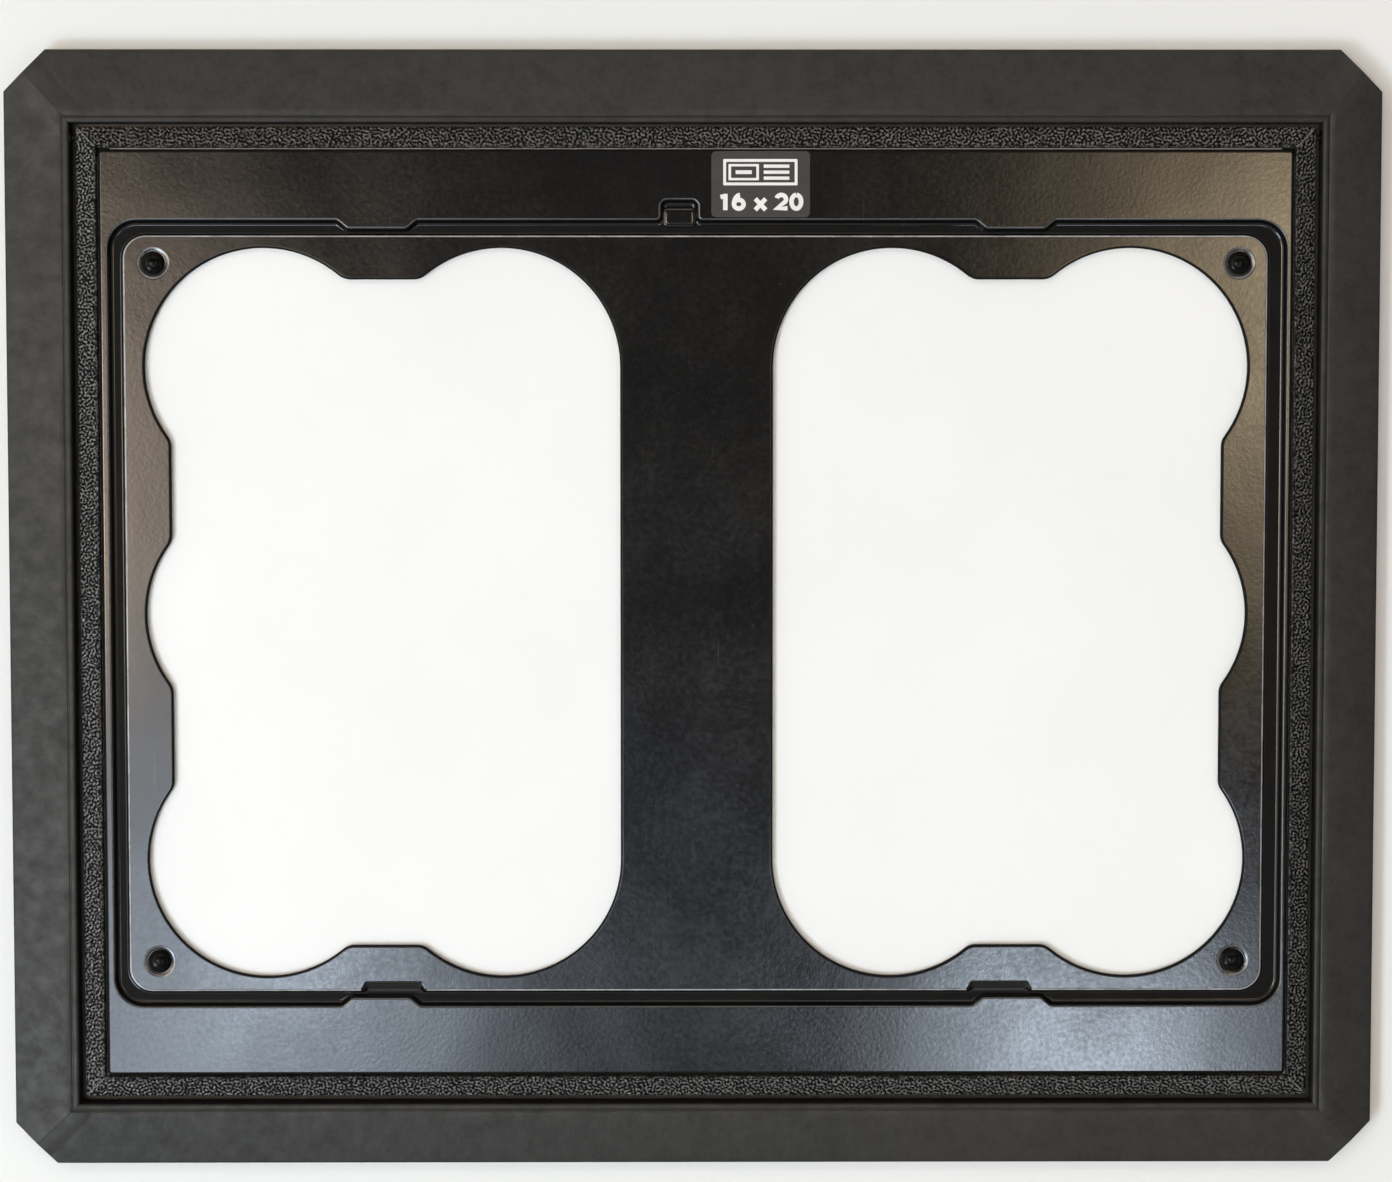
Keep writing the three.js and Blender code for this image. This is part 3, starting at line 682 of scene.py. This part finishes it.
def build_pan(materials):
    """One pressed sheet: a rolled rim, a groove, a raised panel, two openings, four dimples."""
    pan = Surface()
    rim = add_rim(pan)
    groove_top, groove_bottom = add_groove_wall(pan)
    pan.flat([rim, groove_top], ENAMEL)
    panel_top, panel_bottom = add_panel_edge(pan)
    # The groove's floor is dull black: painted shade.
    pan.flat([groove_bottom, panel_bottom], PAINTED_SHADE)
    holes = [add_opening(pan, outline) for outline in (opening_outline, left_opening_outline)]
    holes += [add_dimple(pan, foot) for foot in foot_nodes()]
    pan.flat([panel_top] + holes, ENAMEL)
    piece = pan.finish("bottom_pan_pressed", materials)
    stand_for(piece, "base", "gloss_enamel", "bottom_pan")


def build_pocket_ramp(paint):
    """A low step pressed up inside the pocket of the back groove, rounded over at its edge."""
    rise, turn, corner = 1.1, 2.2, 2.6
    half = POCKET["half"] - 0.9
    near = GROOVE["y"] - 3.4
    far = GROOVE["y"] + POCKET["depth"] - 3.2
    ramp = Surface()
    rings = []
    for angle in np.linspace(0, math.pi / 2, 7):
        inset = turn * (1 - math.cos(angle))
        left = POCKET["at"] - half + inset
        right = POCKET["at"] + half - inset
        outline = box_outline(left, right, near + inset, far - inset, corner - inset)
        rings.append(ramp.ring(outline, GROOVE_FLOOR + rise * MM * math.sin(angle)))
    ramp.sweep(rings)
    ramp.flat([rings[-1]])
    piece = ramp.finish("pocket_ramp", [paint])
    stand_for(piece, "base", "gloss_enamel")


def foot_nodes():
    return [f"foot_{end}_{side}" for end in ("back", "front") for side in ("left", "right")]


def centre_of(node):
    """Centre of a node, in millimetres from the base's centre."""
    low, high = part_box(node)
    return (
        ((low.x + high.x) / 2 - BASE_CENTRE[0]) / MM,
        ((low.y + high.y) / 2 - BASE_CENTRE[1]) / MM,
    )


def foot_section(radius, crown):
    """Outside of a foot's dome as (radius, height): a rounded brim, then a quarter of an ellipse."""
    brim = FOOT_SEAT + 0.75 * MM
    overhang = 0.001  # of the ellipse past the brim
    section = [
        (radius - 0.5, FOOT_SEAT),
        (radius - 0.08, FOOT_SEAT + 0.2 * MM),
        (radius, FOOT_SEAT + 0.5 * MM),
    ]
    for angle in np.linspace(0, math.pi / 2, 18)[:-2]:
        rise = (crown - brim) * math.sin(angle)
        section.append((radius * math.cos(angle) + overhang, brim + rise))
    return section + [(0.35, crown)]


def build_feet(rubber):
    """Domed feet with a small moulding flat at the crown and a stem through the pan."""
    for node in foot_nodes():
        low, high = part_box(node)
        centre = centre_of(node)
        dome = foot_section((high.x - low.x) / 2 / MM, high.z)
        stem = [(2.4, FOOT_SEAT + 0.1 * MM), (2.4, low.z)]
        foot = Surface()
        for section, steps in ((dome, 48), (stem, 24)):
            rings = [foot.ring(circle(centre, radius, steps), height) for radius, height in section]
            foot.sweep(rings)
            foot.flat([rings[-1]])
        piece = foot.finish(f"{node}_dome", [rubber])
        stand_for(piece, "base", "rubber", node)


# ---- mitred bars


def grain_tile(size, wavelength, cell):
    """A repeating field of worm-like ridges: band-passed noise, squashed towards plateaus."""
    noise = np.random.default_rng(11).standard_normal((size, size))
    frequency = np.fft.fftfreq(size, d=cell)
    radius = np.hypot(*np.meshgrid(frequency, frequency))
    band = np.exp(-(((radius - 1 / wavelength) / (0.35 / wavelength)) ** 2))
    field = np.real(np.fft.ifft2(np.fft.fft2(noise) * band))
    return np.tanh(1.3 * field / field.std())


GRAIN_TILE = grain_tile(512, GRAIN_WAVELENGTH, GRAIN_CELL)


def grain_at(x, y):
    """Bilinear sample of the grain tile at places in millimetres."""
    size = GRAIN_TILE.shape[0]
    u, v = x / GRAIN_CELL, y / GRAIN_CELL
    iu, iv = np.floor(u).astype(int), np.floor(v).astype(int)
    fu, fv = u - iu, v - iv
    a = GRAIN_TILE[iu % size, iv % size]
    b = GRAIN_TILE[(iu + 1) % size, iv % size]
    c = GRAIN_TILE[iu % size, (iv + 1) % size]
    d = GRAIN_TILE[(iu + 1) % size, (iv + 1) % size]
    return (a * (1 - fu) + b * fu) * (1 - fv) + (c * (1 - fu) + d * fu) * fv


def side_layout(rectangle, inner):
    """For each side of a mitred frame: its placing, its size, and what its ends lose per inset."""
    x0, x1, y0, y1 = rectangle
    width = {
        "left": inner[0] - x0,
        "right": x1 - inner[1],
        "front": inner[2] - y0,
        "back": y1 - inner[3],
    }
    centre = Vector(((x0 + x1) / 2, (y0 + y1) / 2, 0))
    length, depth = x1 - x0, y1 - y0
    plan = {
        "front": (0, length, depth, "left", "right"),
        "right": (math.pi / 2, depth, length, "front", "back"),
        "back": (math.pi, length, depth, "right", "left"),
        "left": (-math.pi / 2, depth, length, "back", "front"),
    }
    sides = {}
    for name, (turn, along, across, start, end) in plan.items():
        matrix = Matrix.Translation(centre) @ Matrix.Rotation(turn, 4, "Z")
        matrix = matrix @ Matrix.Translation((0, -across / 2, 0))
        sides[name] = {
            "matrix": matrix,
            "length": along / MM,
            "width": width[name] / MM,
            "start_loss": width[start] / width[name],
            "end_loss": width[end] / width[name],
        }
    return sides


def bar_rows(side, insets, stations, spacing):
    """Places along a side for each row of a sweep, and how far each is from the nearer mitre."""
    starts = -side["length"] / 2 + insets * side["start_loss"]
    ends = side["length"] / 2 - insets * side["end_loss"]
    near = [starts + distance for distance in stations]
    far = [ends - distance for distance in stations[::-1]]
    spans = np.linspace(0, 1, max(2, int(side["length"] / spacing)))[1:-1]
    middle = [near[-1] * (1 - span) + far[0] * span for span in spans]
    x = np.array(near + middle + far)
    return x, np.minimum(x - starts, ends - x)


def loft_faces(rows, count):
    """Quads between rows of count points each, and a cap at either end."""
    row = np.arange(rows - 1)[:, None] * count
    column = np.arange(count)[None, :]
    after = (column + 1) % count
    quads = np.stack([row + column, row + after, row + count + after, row + count + column], axis=-1)
    first = list(range(count))
    last = [(rows - 1) * count + place for place in first]
    return quads.reshape(-1, 4).tolist() + [first[::-1], last]


def mitred_mesh(name, side, section, stations, spacing, lift, mark, material):
    """Sweeps a closed section (inset, height) along a side of a mitred frame.

    stations are the rows' distances from either mitre, and spacing is the step between those rows.
    lift adds height, and mark fills the attribute by which the materials know folds and the seams given
    a painted highlight.
    """
    insets, heights = np.array(section).T
    x, nearest = bar_rows(side, insets, stations, spacing)
    inset = np.broadcast_to(insets, x.shape)
    height = np.broadcast_to(heights, x.shape)
    raised = lift(inset, height, nearest, x, side)
    matrix = np.array(side["matrix"])
    places = np.stack([x, inset, height + raised], axis=-1).reshape(-1, 3) * MM
    places = places @ matrix[:3, :3].T + matrix[:3, 3]
    data = bpy.data.meshes.new(name)
    data.from_pydata(places.tolist(), [], loft_faces(*x.shape))
    marks = mark(inset, height, nearest, side)
    for label, values in (("mark", marks), ("raised", raised)):
        layer = data.attributes.new(label, "FLOAT", "POINT")
        layer.data.foreach_set("value", np.ascontiguousarray(values).ravel())
    return new_object(name, data, [material])


def shade(piece, angle_degrees):
    """Smooth shading, except at edges that turn more than the angle."""
    for polygon in piece.data.polygons:
        polygon.use_smooth = True
    piece.data.set_sharp_from_angle(angle=math.radians(angle_degrees))


def rail_section(width):
    """Closed section of a rail as (inset, height), with a lip, a crease behind it and a slope."""
    top = LIP_TOP / MM
    mask = highest("mask_plate").z / MM
    # Distances back from the lip, and down from its top.
    lip = [(0.0, 1.0), (0.12, 0.55), (0.4, 0.2), (0.9, 0.02), (1.5, 0.0), (2.1, 0.06), (2.5, 0.24)]
    crease = [(2.75, 0.5), (3.0, 0.55), (3.3, 0.4), (3.7, 0.26), (6, 0.45), (12, 1.1)]
    underside = [(2.5, 0.0), (width - 10, 0.0), (width - 10, mask), (width, mask)]
    outer_edge = [(1.3, 8.25), (0.6, 8.1), (0.15, 7.8), (0.0, 7.3), (0.0, 2.9), (0.25, 1.6), (1.1, 0.5)]
    return underside + [(width - back, top - down) for back, down in lip + crease] + outer_edge


# The covering is folded over at each mitre, this far along the rail and up to this far from its lip.
FOLD = {"length": 9.4, "from_lip": 3.4}


def fold_lift(inset, height, distance, x, side):
    """Raised strip of covering folded over the mitre, and the slow waves of a hand-covered rail."""
    on_top = (height > 7.9) & (inset < side["width"] - FOLD["from_lip"])
    fold = 0.07 * np.clip((FOLD["length"] - distance) / 0.5, 0, 1)
    wave = 0.05 * np.sin(x / 37.0 + inset / 9.0) + 0.04 * np.sin(x / 13.0 - inset / 5.0)
    return np.where(on_top, fold + wave - 0.04, 0.0)


def fold_mark(inset, height, distance, side):
    """One on the strip of covering folded over each mitre."""
    folded = (distance < FOLD["length"] - 0.2) & (inset < side["width"] - FOLD["from_lip"])
    return np.where(folded, 1.0, 0.0)


def clip_corners(piece):
    """Cuts the clipped corners at the places where the CAD rails end."""
    left_width = LIP[0] - OUTER[0]
    back_width = OUTER[3] - LIP[3]
    mitre_start = lowest("frame_rail_back").x - OUTER[0]
    cut = mitre_start * (left_width + back_width) / left_width
    mesh = bmesh.new()
    mesh.from_mesh(piece.data)
    for sign_x, edge_x in ((-1, OUTER[0]), (1, OUTER[1])):
        for sign_y, edge_y in ((-1, OUTER[2]), (1, OUTER[3])):
            point = Vector((edge_x - sign_x * cut, edge_y, 0))
            normal = Vector((sign_x, sign_y, 0)).normalized()
            geometry = mesh.verts[:] + mesh.edges[:] + mesh.faces[:]
            result = bmesh.ops.bisect_plane(
                mesh, geom=geometry, plane_co=point, plane_no=normal, clear_outer=True, dist=1e-7
            )
            edges = [item for item in result["geom_cut"] if isinstance(item, bmesh.types.BMEdge)]
            if edges:
                bmesh.ops.contextual_create(mesh, geom=edges)
    bmesh.ops.recalc_face_normals(mesh, faces=mesh.faces)
    mesh.to_mesh(piece.data)
    mesh.free()


def build_rails(vinyl):
    stations = [0.0, 0.25, 4.5, FOLD["length"] - 0.5, FOLD["length"], 12.0]
    for name, side in side_layout(OUTER, LIP).items():
        section = rail_section(side["width"])
        piece = mitred_mesh(
            f"rail_{name}_covered", side, section, stations, 4.0, fold_lift, fold_mark, vinyl
        )
        clip_corners(piece)
        shade(piece, 32)
        soften(piece, 0.35)
        stand_for(piece, "masking_frame", "frame_vinyl", f"frame_rail_{name}")


# Height at which the trim's slope begins.
SLOPE_FOOT = 8.6


def trim_section():
    """Closed section of the base trim: skirt, inner wall, rounded crest, finely divided slope."""
    skirt = SKIRT_BOTTOM / MM
    board = BOARD_TOP / MM
    crest = CREST_TOP / MM
    wall = TRIM_WIDTH - 0.05
    slope_insets = np.linspace(0.15, 8.0, 18)
    slope_heights = np.linspace(SLOPE_FOOT + 0.15, crest - 0.2, 18)
    return (
        [(1.7, skirt + 0.1), (2.0, skirt), (2.0, board), (wall, board), (wall, crest - 0.5)]
        + [(8.85, crest - 0.2), (8.65, crest - 0.04), (8.4, crest), (8.2, crest - 0.05)]
        + list(zip(slope_insets, slope_heights))[::-1]
        + [(0.0, 8.5), (0.0, 4.6)]
    )


def grain_lift(inset, height, distance, x, side):
    """Grain on the slope, fading out at its foot and crest, with a raised seam at each mitre.

    The offset differs from side to side, so that no two sides show the same patch of the tile.
    """
    matrix = np.array(side["matrix"])
    world_x = x * matrix[0, 0] + inset * matrix[0, 1]
    world_y = x * matrix[1, 0] + inset * matrix[1, 1]
    offset = 37.0 * matrix[0, 0] + 53.0 * matrix[1, 0]
    grain = grain_at(world_x + offset + 600, world_y - offset + 600)
    on_slope = (height > SLOPE_FOOT) & (inset < 8.1)
    fade = np.clip(inset / 0.6, 0, 1) * np.clip((8.0 - inset) / 0.5, 0, 1)
    fade = fade * np.clip(distance / 0.5, 0, 1)
    seam = 0.12 * np.clip(1 - distance / 0.3, 0, 1)
    return np.where(on_slope, GRAIN_DEPTH * grain * fade + seam, 0.0)


def seam_highlight_mark(inset, height, distance, side):
    """Painted highlight, high on the mitre seams of the slope."""
    seam = (distance < 0.32) & (inset > 1.4) & (inset < 8.4) & (height > SLOPE_FOOT)
    return np.where(seam, 0.6, 0.0)


def build_trim(vinyl):
    width = TRIM_WIDTH * MM
    inner = (BASE[0] + width, BASE[1] - width, BASE[2] + width, BASE[3] - width)
    section = trim_section()
    stations = [0.0, 0.3, 0.4]
    for name, side in side_layout(BASE, inner).items():
        piece = mitred_mesh(
            f"trim_{name}_grained", side, section, stations, 0.55, grain_lift, seam_highlight_mark, vinyl
        )
        shade(piece, 55)
        stand_for(piece, "base", "grain_trim", f"base_trim_{name}")


# ---- label

# The size's letters, and where its line begins from the label's centre.
LETTER = {"width": 5.6, "height": 5.7, "stroke": 1.9, "start": -17.6, "foot": -10.2}

# The pictogram is a border round a page and three lines, all at one height from the label's centre.
PICTOGRAM = {"y": 5.0, "border_x": -0.2, "page_x": -7.2, "lines_x": 6.6, "line_gap": 2.5}

LABEL_CORNER = 2.2


def oval(cx, cy, rx, ry, start, end, steps=24):
    angles = np.radians(np.linspace(start, end, steps + 1))
    return [(cx + rx * math.cos(a), cy + ry * math.sin(a)) for a in angles]


# Centre lines of the characters in a unit box, with the distance to the next character.
GLYPHS = {
    "1": ([[(0.12, 0.84), (0.48, 0.92)], [(0.48, 1.08), (0.48, -0.12)]], 0.99),
    "6": ([oval(0.5, 0.32, 0.36, 0.32, 120, 480), oval(0.64, 0.32, 0.50, 0.68, 180, 96)], 1.2),
    " ": ([], 0.48),
    "x": ([[(0.06, 0.72), (0.84, -0.1)], [(0.06, -0.1), (0.84, 0.72)]], 1.03),
    "2": ([oval(0.5, 0.68, 0.35, 0.32, 165, -38) + [(0.18, 0.02), (0.96, 0.02)]], 1.125),
    "0": ([oval(0.5, 0.5, 0.36, 0.5, 92, 448, 36)], 1.2),
}


def ribbon(path, width):
    """Outline of a stroke of constant width along a path."""
    points = [Vector(point) for point in path]
    left, right = [], []
    for index, point in enumerate(points):
        before = points[max(index - 1, 0)]
        after = points[min(index + 1, len(points) - 1)]
        inward = (point - before).normalized() if index else (after - point).normalized()
        outward = (after - point).normalized() if index < len(points) - 1 else inward
        along = (inward + outward).normalized()
        reach = width / 2 / max(0.5, along.dot(inward))
        normal = Vector((-along.y, along.x)) * reach
        left.append(tuple(point + normal))
        right.append(tuple(point - normal))
    return left + right[::-1]


def label_box(dx, dy, half_x, half_y, radius):
    """Rounded rectangle placed from the label's centre."""
    x, y = centre_of("size_label")
    return box_outline(x + dx - half_x, x + dx + half_x, y + dy - half_y, y + dy + half_y, radius)


def build_label_film(film):
    """The label itself, with a slightly rounded edge."""
    low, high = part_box("size_label")
    half_x = (high.x - low.x) / 2 / MM
    half_y = (high.y - low.y) / 2 / MM
    face = high.z - 0.02 * MM
    plate = Surface()
    rings = []
    for inset, height in ((0.0, low.z), (0.0, high.z - 0.1 * MM), (0.12, face), (0.25, face)):
        outline = label_box(0, 0, half_x - inset, half_y - inset, LABEL_CORNER - inset)
        rings.append(plate.ring(outline, height))
    plate.sweep(rings)
    plate.flat([rings[-1]])
    stand_for(plate.finish("label_film", [film]), "base", "label_film", "size_label")


def build_pictogram(ink, height):
    """A generic page beside three lines of text, inside a border."""
    y = PICTOGRAM["y"]
    border_x, page_x = PICTOGRAM["border_x"], PICTOGRAM["page_x"]
    border = [label_box(border_x, y, 15.6, 5.5, 0.4), label_box(border_x, y, 14.4, 4.3, 0.3)]
    page = [label_box(page_x, y, 6.4, 3.4, 0.3), label_box(page_x, y, 5.3, 2.4, 0.3)]
    art = Surface()
    for outer, inner in (border, page):
        art.flat([art.ring(outer, height), art.ring(inner, height)])
    art.flat([art.ring(label_box(page_x, y, 3.4, 0.8, 0.2), height)])
    for line in (-1, 0, 1):
        line_y = y - line * PICTOGRAM["line_gap"]
        art.flat([art.ring(label_box(PICTOGRAM["lines_x"], line_y, 5.4, 0.7, 0.2), height)])
    stand_for(art.finish("label_pictogram", [ink]), "base", "label_film")


def build_size_digits(ink, height):
    """The paper size. Strokes that cross lie a hair apart, so that their faces don't coincide."""
    centre_x, centre_y = centre_of("size_label")
    foot = centre_y + LETTER["foot"]
    cursor = centre_x + LETTER["start"]
    digits = Surface()
    for glyph in "16 x 20":
        strokes, advance = GLYPHS[glyph]
        for layer, path in enumerate(strokes):
            placed = [(cursor + x * LETTER["width"], foot + y * LETTER["height"]) for x, y in path]
            outline = ribbon(placed, LETTER["stroke"])
            digits.flat([digits.ring(outline, height - 0.004 * MM * layer)])
        cursor += advance * LETTER["width"]
    stand_for(digits.finish("label_size", [ink]), "base", "label_film")


def build_label(film, ink):
    build_label_film(film)
    print_height = highest("size_label").z - 0.005 * MM
    build_pictogram(ink, print_height)
    build_size_digits(ink, print_height)


# ---- carried-over CAD nodes


def dress(node, material, bevel):
    """Gives a CAD node its material and small rounded edges."""
    thing = NODES[node]
    thing.data.materials.clear()
    thing.data.materials.append(material)
    if bevel:
        soften(thing, bevel)


def dress_nodes():
    """Dresses the CAD nodes that are shown as they are."""
    zinc = metal("zinc_plate", (0.56, 0.57, 0.58), (0.40, 0.41, 0.42), 0.28, 0.6)
    dark_steel = metal("blackened_steel", (0.012, 0.012, 0.013), (0.022, 0.021, 0.020), 0.42, 0.4)
    # Near-black bronze for the hinge bushes: painted shade, so that they stay as dark as the crevice
    # they sit in.
    bronze = metal("shade_darkened_bronze", (0.016, 0.013, 0.010), (0.010, 0.008, 0.007), 0.42, 0.3)
    black_screw = metal("black_screw", (0.05, 0.05, 0.052), (0.09, 0.085, 0.08), 0.35, 0.4)
    mask_paint = satin_paint("mask_paint", (0.018, 0.018, 0.018), (0.045, 0.044, 0.042))
    guide = printed_film("paper_guide_strip", (0.62, 0.61, 0.57), (0.70, 0.69, 0.66), 0.5)
    # Start of the node's name, its material, and how much its edges are rounded.
    rules = (
        ("bed_board", white_laminate(), 0.25),
        ("mask_plate", mask_paint, 0.12),
        ("mask_screw", black_screw, 0.0),
        ("corner_key", zinc, 0.15),
        ("hinge_stub", dark_steel, 0.12),
        ("hinge_bush", bronze, 0.08),
        ("paper_guide", guide, 0.1),
        ("pan_pad", felt(), 0.2),
    )
    for node in NODES:
        for start, material, bevel in rules:
            if node.startswith(start):
                dress(node, material, bevel)


# ---- stage, lights and camera


def build_table():
    data = bpy.data.meshes.new("table")
    reach = 12.0
    corners = [(-reach, -reach, 0), (reach, -reach, 0), (reach, reach, 0), (-reach, reach, 0)]
    data.from_pydata(corners, [], [(0, 1, 2, 3)])
    table = new_object("table", data, [pale_table()])


# Brightness of the room straight up and at the horizon, how much its left side gains on its right,
# its colour, and what is added to that colour at the back.
ROOM = {
    "zenith": 0.16,
    "horizon": 0.68,
    "left_bias": 0.75,
    "tint": (1.0, 0.94, 0.85),
    "back_tint": (0.06, 0.0, -0.10),
}

# Soft bright patches of the room which the enamel reflects: window light on the ceiling in front, to
# the left and to the right, then a strip low on each wall. Places and sizes are slopes from straight
# up, sideways distance over height.
CEILING_GLOWS = (
    {"at": (-0.14, -0.20), "size": (0.074, 0.092), "strength": 8.0, "tint": (0.84, 0.98, 1.16)},
    {"at": (0.121, -0.21), "size": (0.040, 0.040), "strength": 18.0, "tint": (0.86, 0.98, 1.14)},
    {"at": (-0.100, -0.172), "size": (0.034, 0.012), "strength": 13.0, "tint": (0.86, 0.98, 1.12)},
    {"at": (0.100, -0.172), "size": (0.030, 0.012), "strength": 13.5, "tint": (0.86, 0.98, 1.12)},
    {"at": (-0.28, -0.032), "size": (0.096, 0.066), "strength": 23.5, "tint": (1.25, 1.01, 0.78)},
    {"at": (0.200, 0.013), "size": (0.058, 0.063), "strength": 9.2, "tint": (1.30, 1.02, 0.66)},
    {"at": (0.00, 0.70), "size": (0.55, 0.10), "strength": 3.2, "tint": (1.02, 0.98, 0.92)},
    {"at": (0.95, 0.00), "size": (0.08, 0.55), "strength": 2.2, "tint": (1.06, 1.00, 0.90)},
    {"at": (-0.80, 0.00), "size": (0.10, 0.55), "strength": 6.4, "tint": (1.02, 1.00, 0.98)},
    {"at": (0.00, -1.00), "size": (0.60, 0.10), "strength": 1.4, "tint": (0.98, 1.00, 1.04)},
)


def build_room():
    """Room light: dimmer straight up than at the horizon, brighter to the left, redder behind."""
    world = bpy.data.worlds.new("studio")
    world.use_nodes = True
    room = Nodes(world.node_tree)
    direction = room.new("ShaderNodeTexCoord").outputs["Generated"]

    height = room.maths("MAXIMUM", room.vector_maths("DOT_PRODUCT", direction, (0.0, 0.0, 1.0)), 0.02)
    leftward = room.vector_maths("DOT_PRODUCT", direction, (-1.0, 0.0, 0.0))
    backward = room.vector_maths("DOT_PRODUCT", direction, (0.0, 1.0, 0.0))
    level = room.maths("MULTIPLY", height, ROOM["zenith"] - ROOM["horizon"])
    level = room.maths("ADD", level, ROOM["horizon"])
    bias = room.maths("ADD", room.maths("MULTIPLY", leftward, ROOM["left_bias"]), 1.0)
    level = room.maths("MULTIPLY", level, bias)
    warmth = room.maths("MULTIPLY", level, room.maths("MAXIMUM", backward, 0.0))
    light = room.scaled(ROOM["tint"], level)
    light = room.vector_maths("ADD", light, room.scaled(ROOM["back_tint"], warmth))

    slope = room.scaled(direction, room.maths("DIVIDE", 1.0, height))
    for glow in CEILING_GLOWS:
        offset = room.vector_maths("SUBTRACT", slope, (*glow["at"], 1.0))
        offset = room.vector_maths("DIVIDE", offset, (*glow["size"], 1.0))
        offset = room.vector_maths("MULTIPLY", offset, (1.0, 1.0, 0.0))
        spread = room.vector_maths("DOT_PRODUCT", offset, offset)
        fade = room.maths("EXPONENT", room.maths("MULTIPLY", spread, -1.0))
        fade = room.maths("MULTIPLY", fade, glow["strength"])
        light = room.vector_maths("ADD", light, room.scaled(glow["tint"], fade))

    background = room.tree.nodes["Background"]
    room.link(light, background.inputs["Color"])
    background.inputs["Strength"].default_value = 1.0
    bpy.context.scene.world = world


def build_key_light():
    """One large soft lamp in front and to the left, so shadows fall behind and to the right."""
    light = bpy.data.lights.new("key", "AREA")
    light.shape = "RECTANGLE"
    light.size = 0.7
    light.size_y = 0.7
    light.energy = 31
    light.color = (0.70, 0.88, 1.0)
    lamp = bpy.data.objects.new("key", light)
    place = Vector((-1.45, -1.15, 2.1))
    lamp.location = place
    lamp.rotation_euler = (-place).to_track_quat("-Z", "Y").to_euler()
    bpy.context.scene.collection.objects.link(lamp)


CAMERA = {"place": (-0.0076, 0.1044, 1.5), "tilt_degrees": (-3.67, -0.33, -0.01), "lens": 91.2}


def build_camera():
    """Camera almost straight above, tilted a few degrees towards the front."""
    data = bpy.data.cameras.new("camera")
    data.sensor_width = 36
    data.lens = CAMERA["lens"]
    data.clip_end = 20
    camera = bpy.data.objects.new("camera", data)
    camera.location = CAMERA["place"]
    camera.rotation_euler = Euler([math.radians(angle) for angle in CAMERA["tilt_degrees"]], "XYZ")
    bpy.context.scene.collection.objects.link(camera)
    bpy.context.scene.camera = camera


# ---- build everything

enamel = gloss_enamel()
build_pan(
    [
        enamel,
        dull_shade_enamel(),
        # Painted highlights: along the groove's shoulder, on the dimples' slopes and along the panel's
        # edge.
        painted_highlight_enamel("shoulder_highlight_enamel", 0.055, 0.100, metal=0.0),
        painted_highlight_enamel("dimple_highlight_enamel", 0.13, 0.24, metal=0.7),
        painted_highlight_enamel("panel_edge_highlight", 0.30, 0.55, metal=0.2),
    ]
)
build_pocket_ramp(enamel)
build_feet(smooth_rubber())
build_rails(frame_vinyl())
build_trim(grain_vinyl())
build_label(
    printed_film("label_black", (0.026, 0.0245, 0.0255), (0.034, 0.032, 0.033), 0.35),
    printed_film("label_ink", (0.80, 0.80, 0.79), (0.86, 0.86, 0.85), 0.45),
)
dress_nodes()
build_table()
build_room()
build_key_light()
build_camera()
bpy.context.scene.view_settings.view_transform = "Standard"
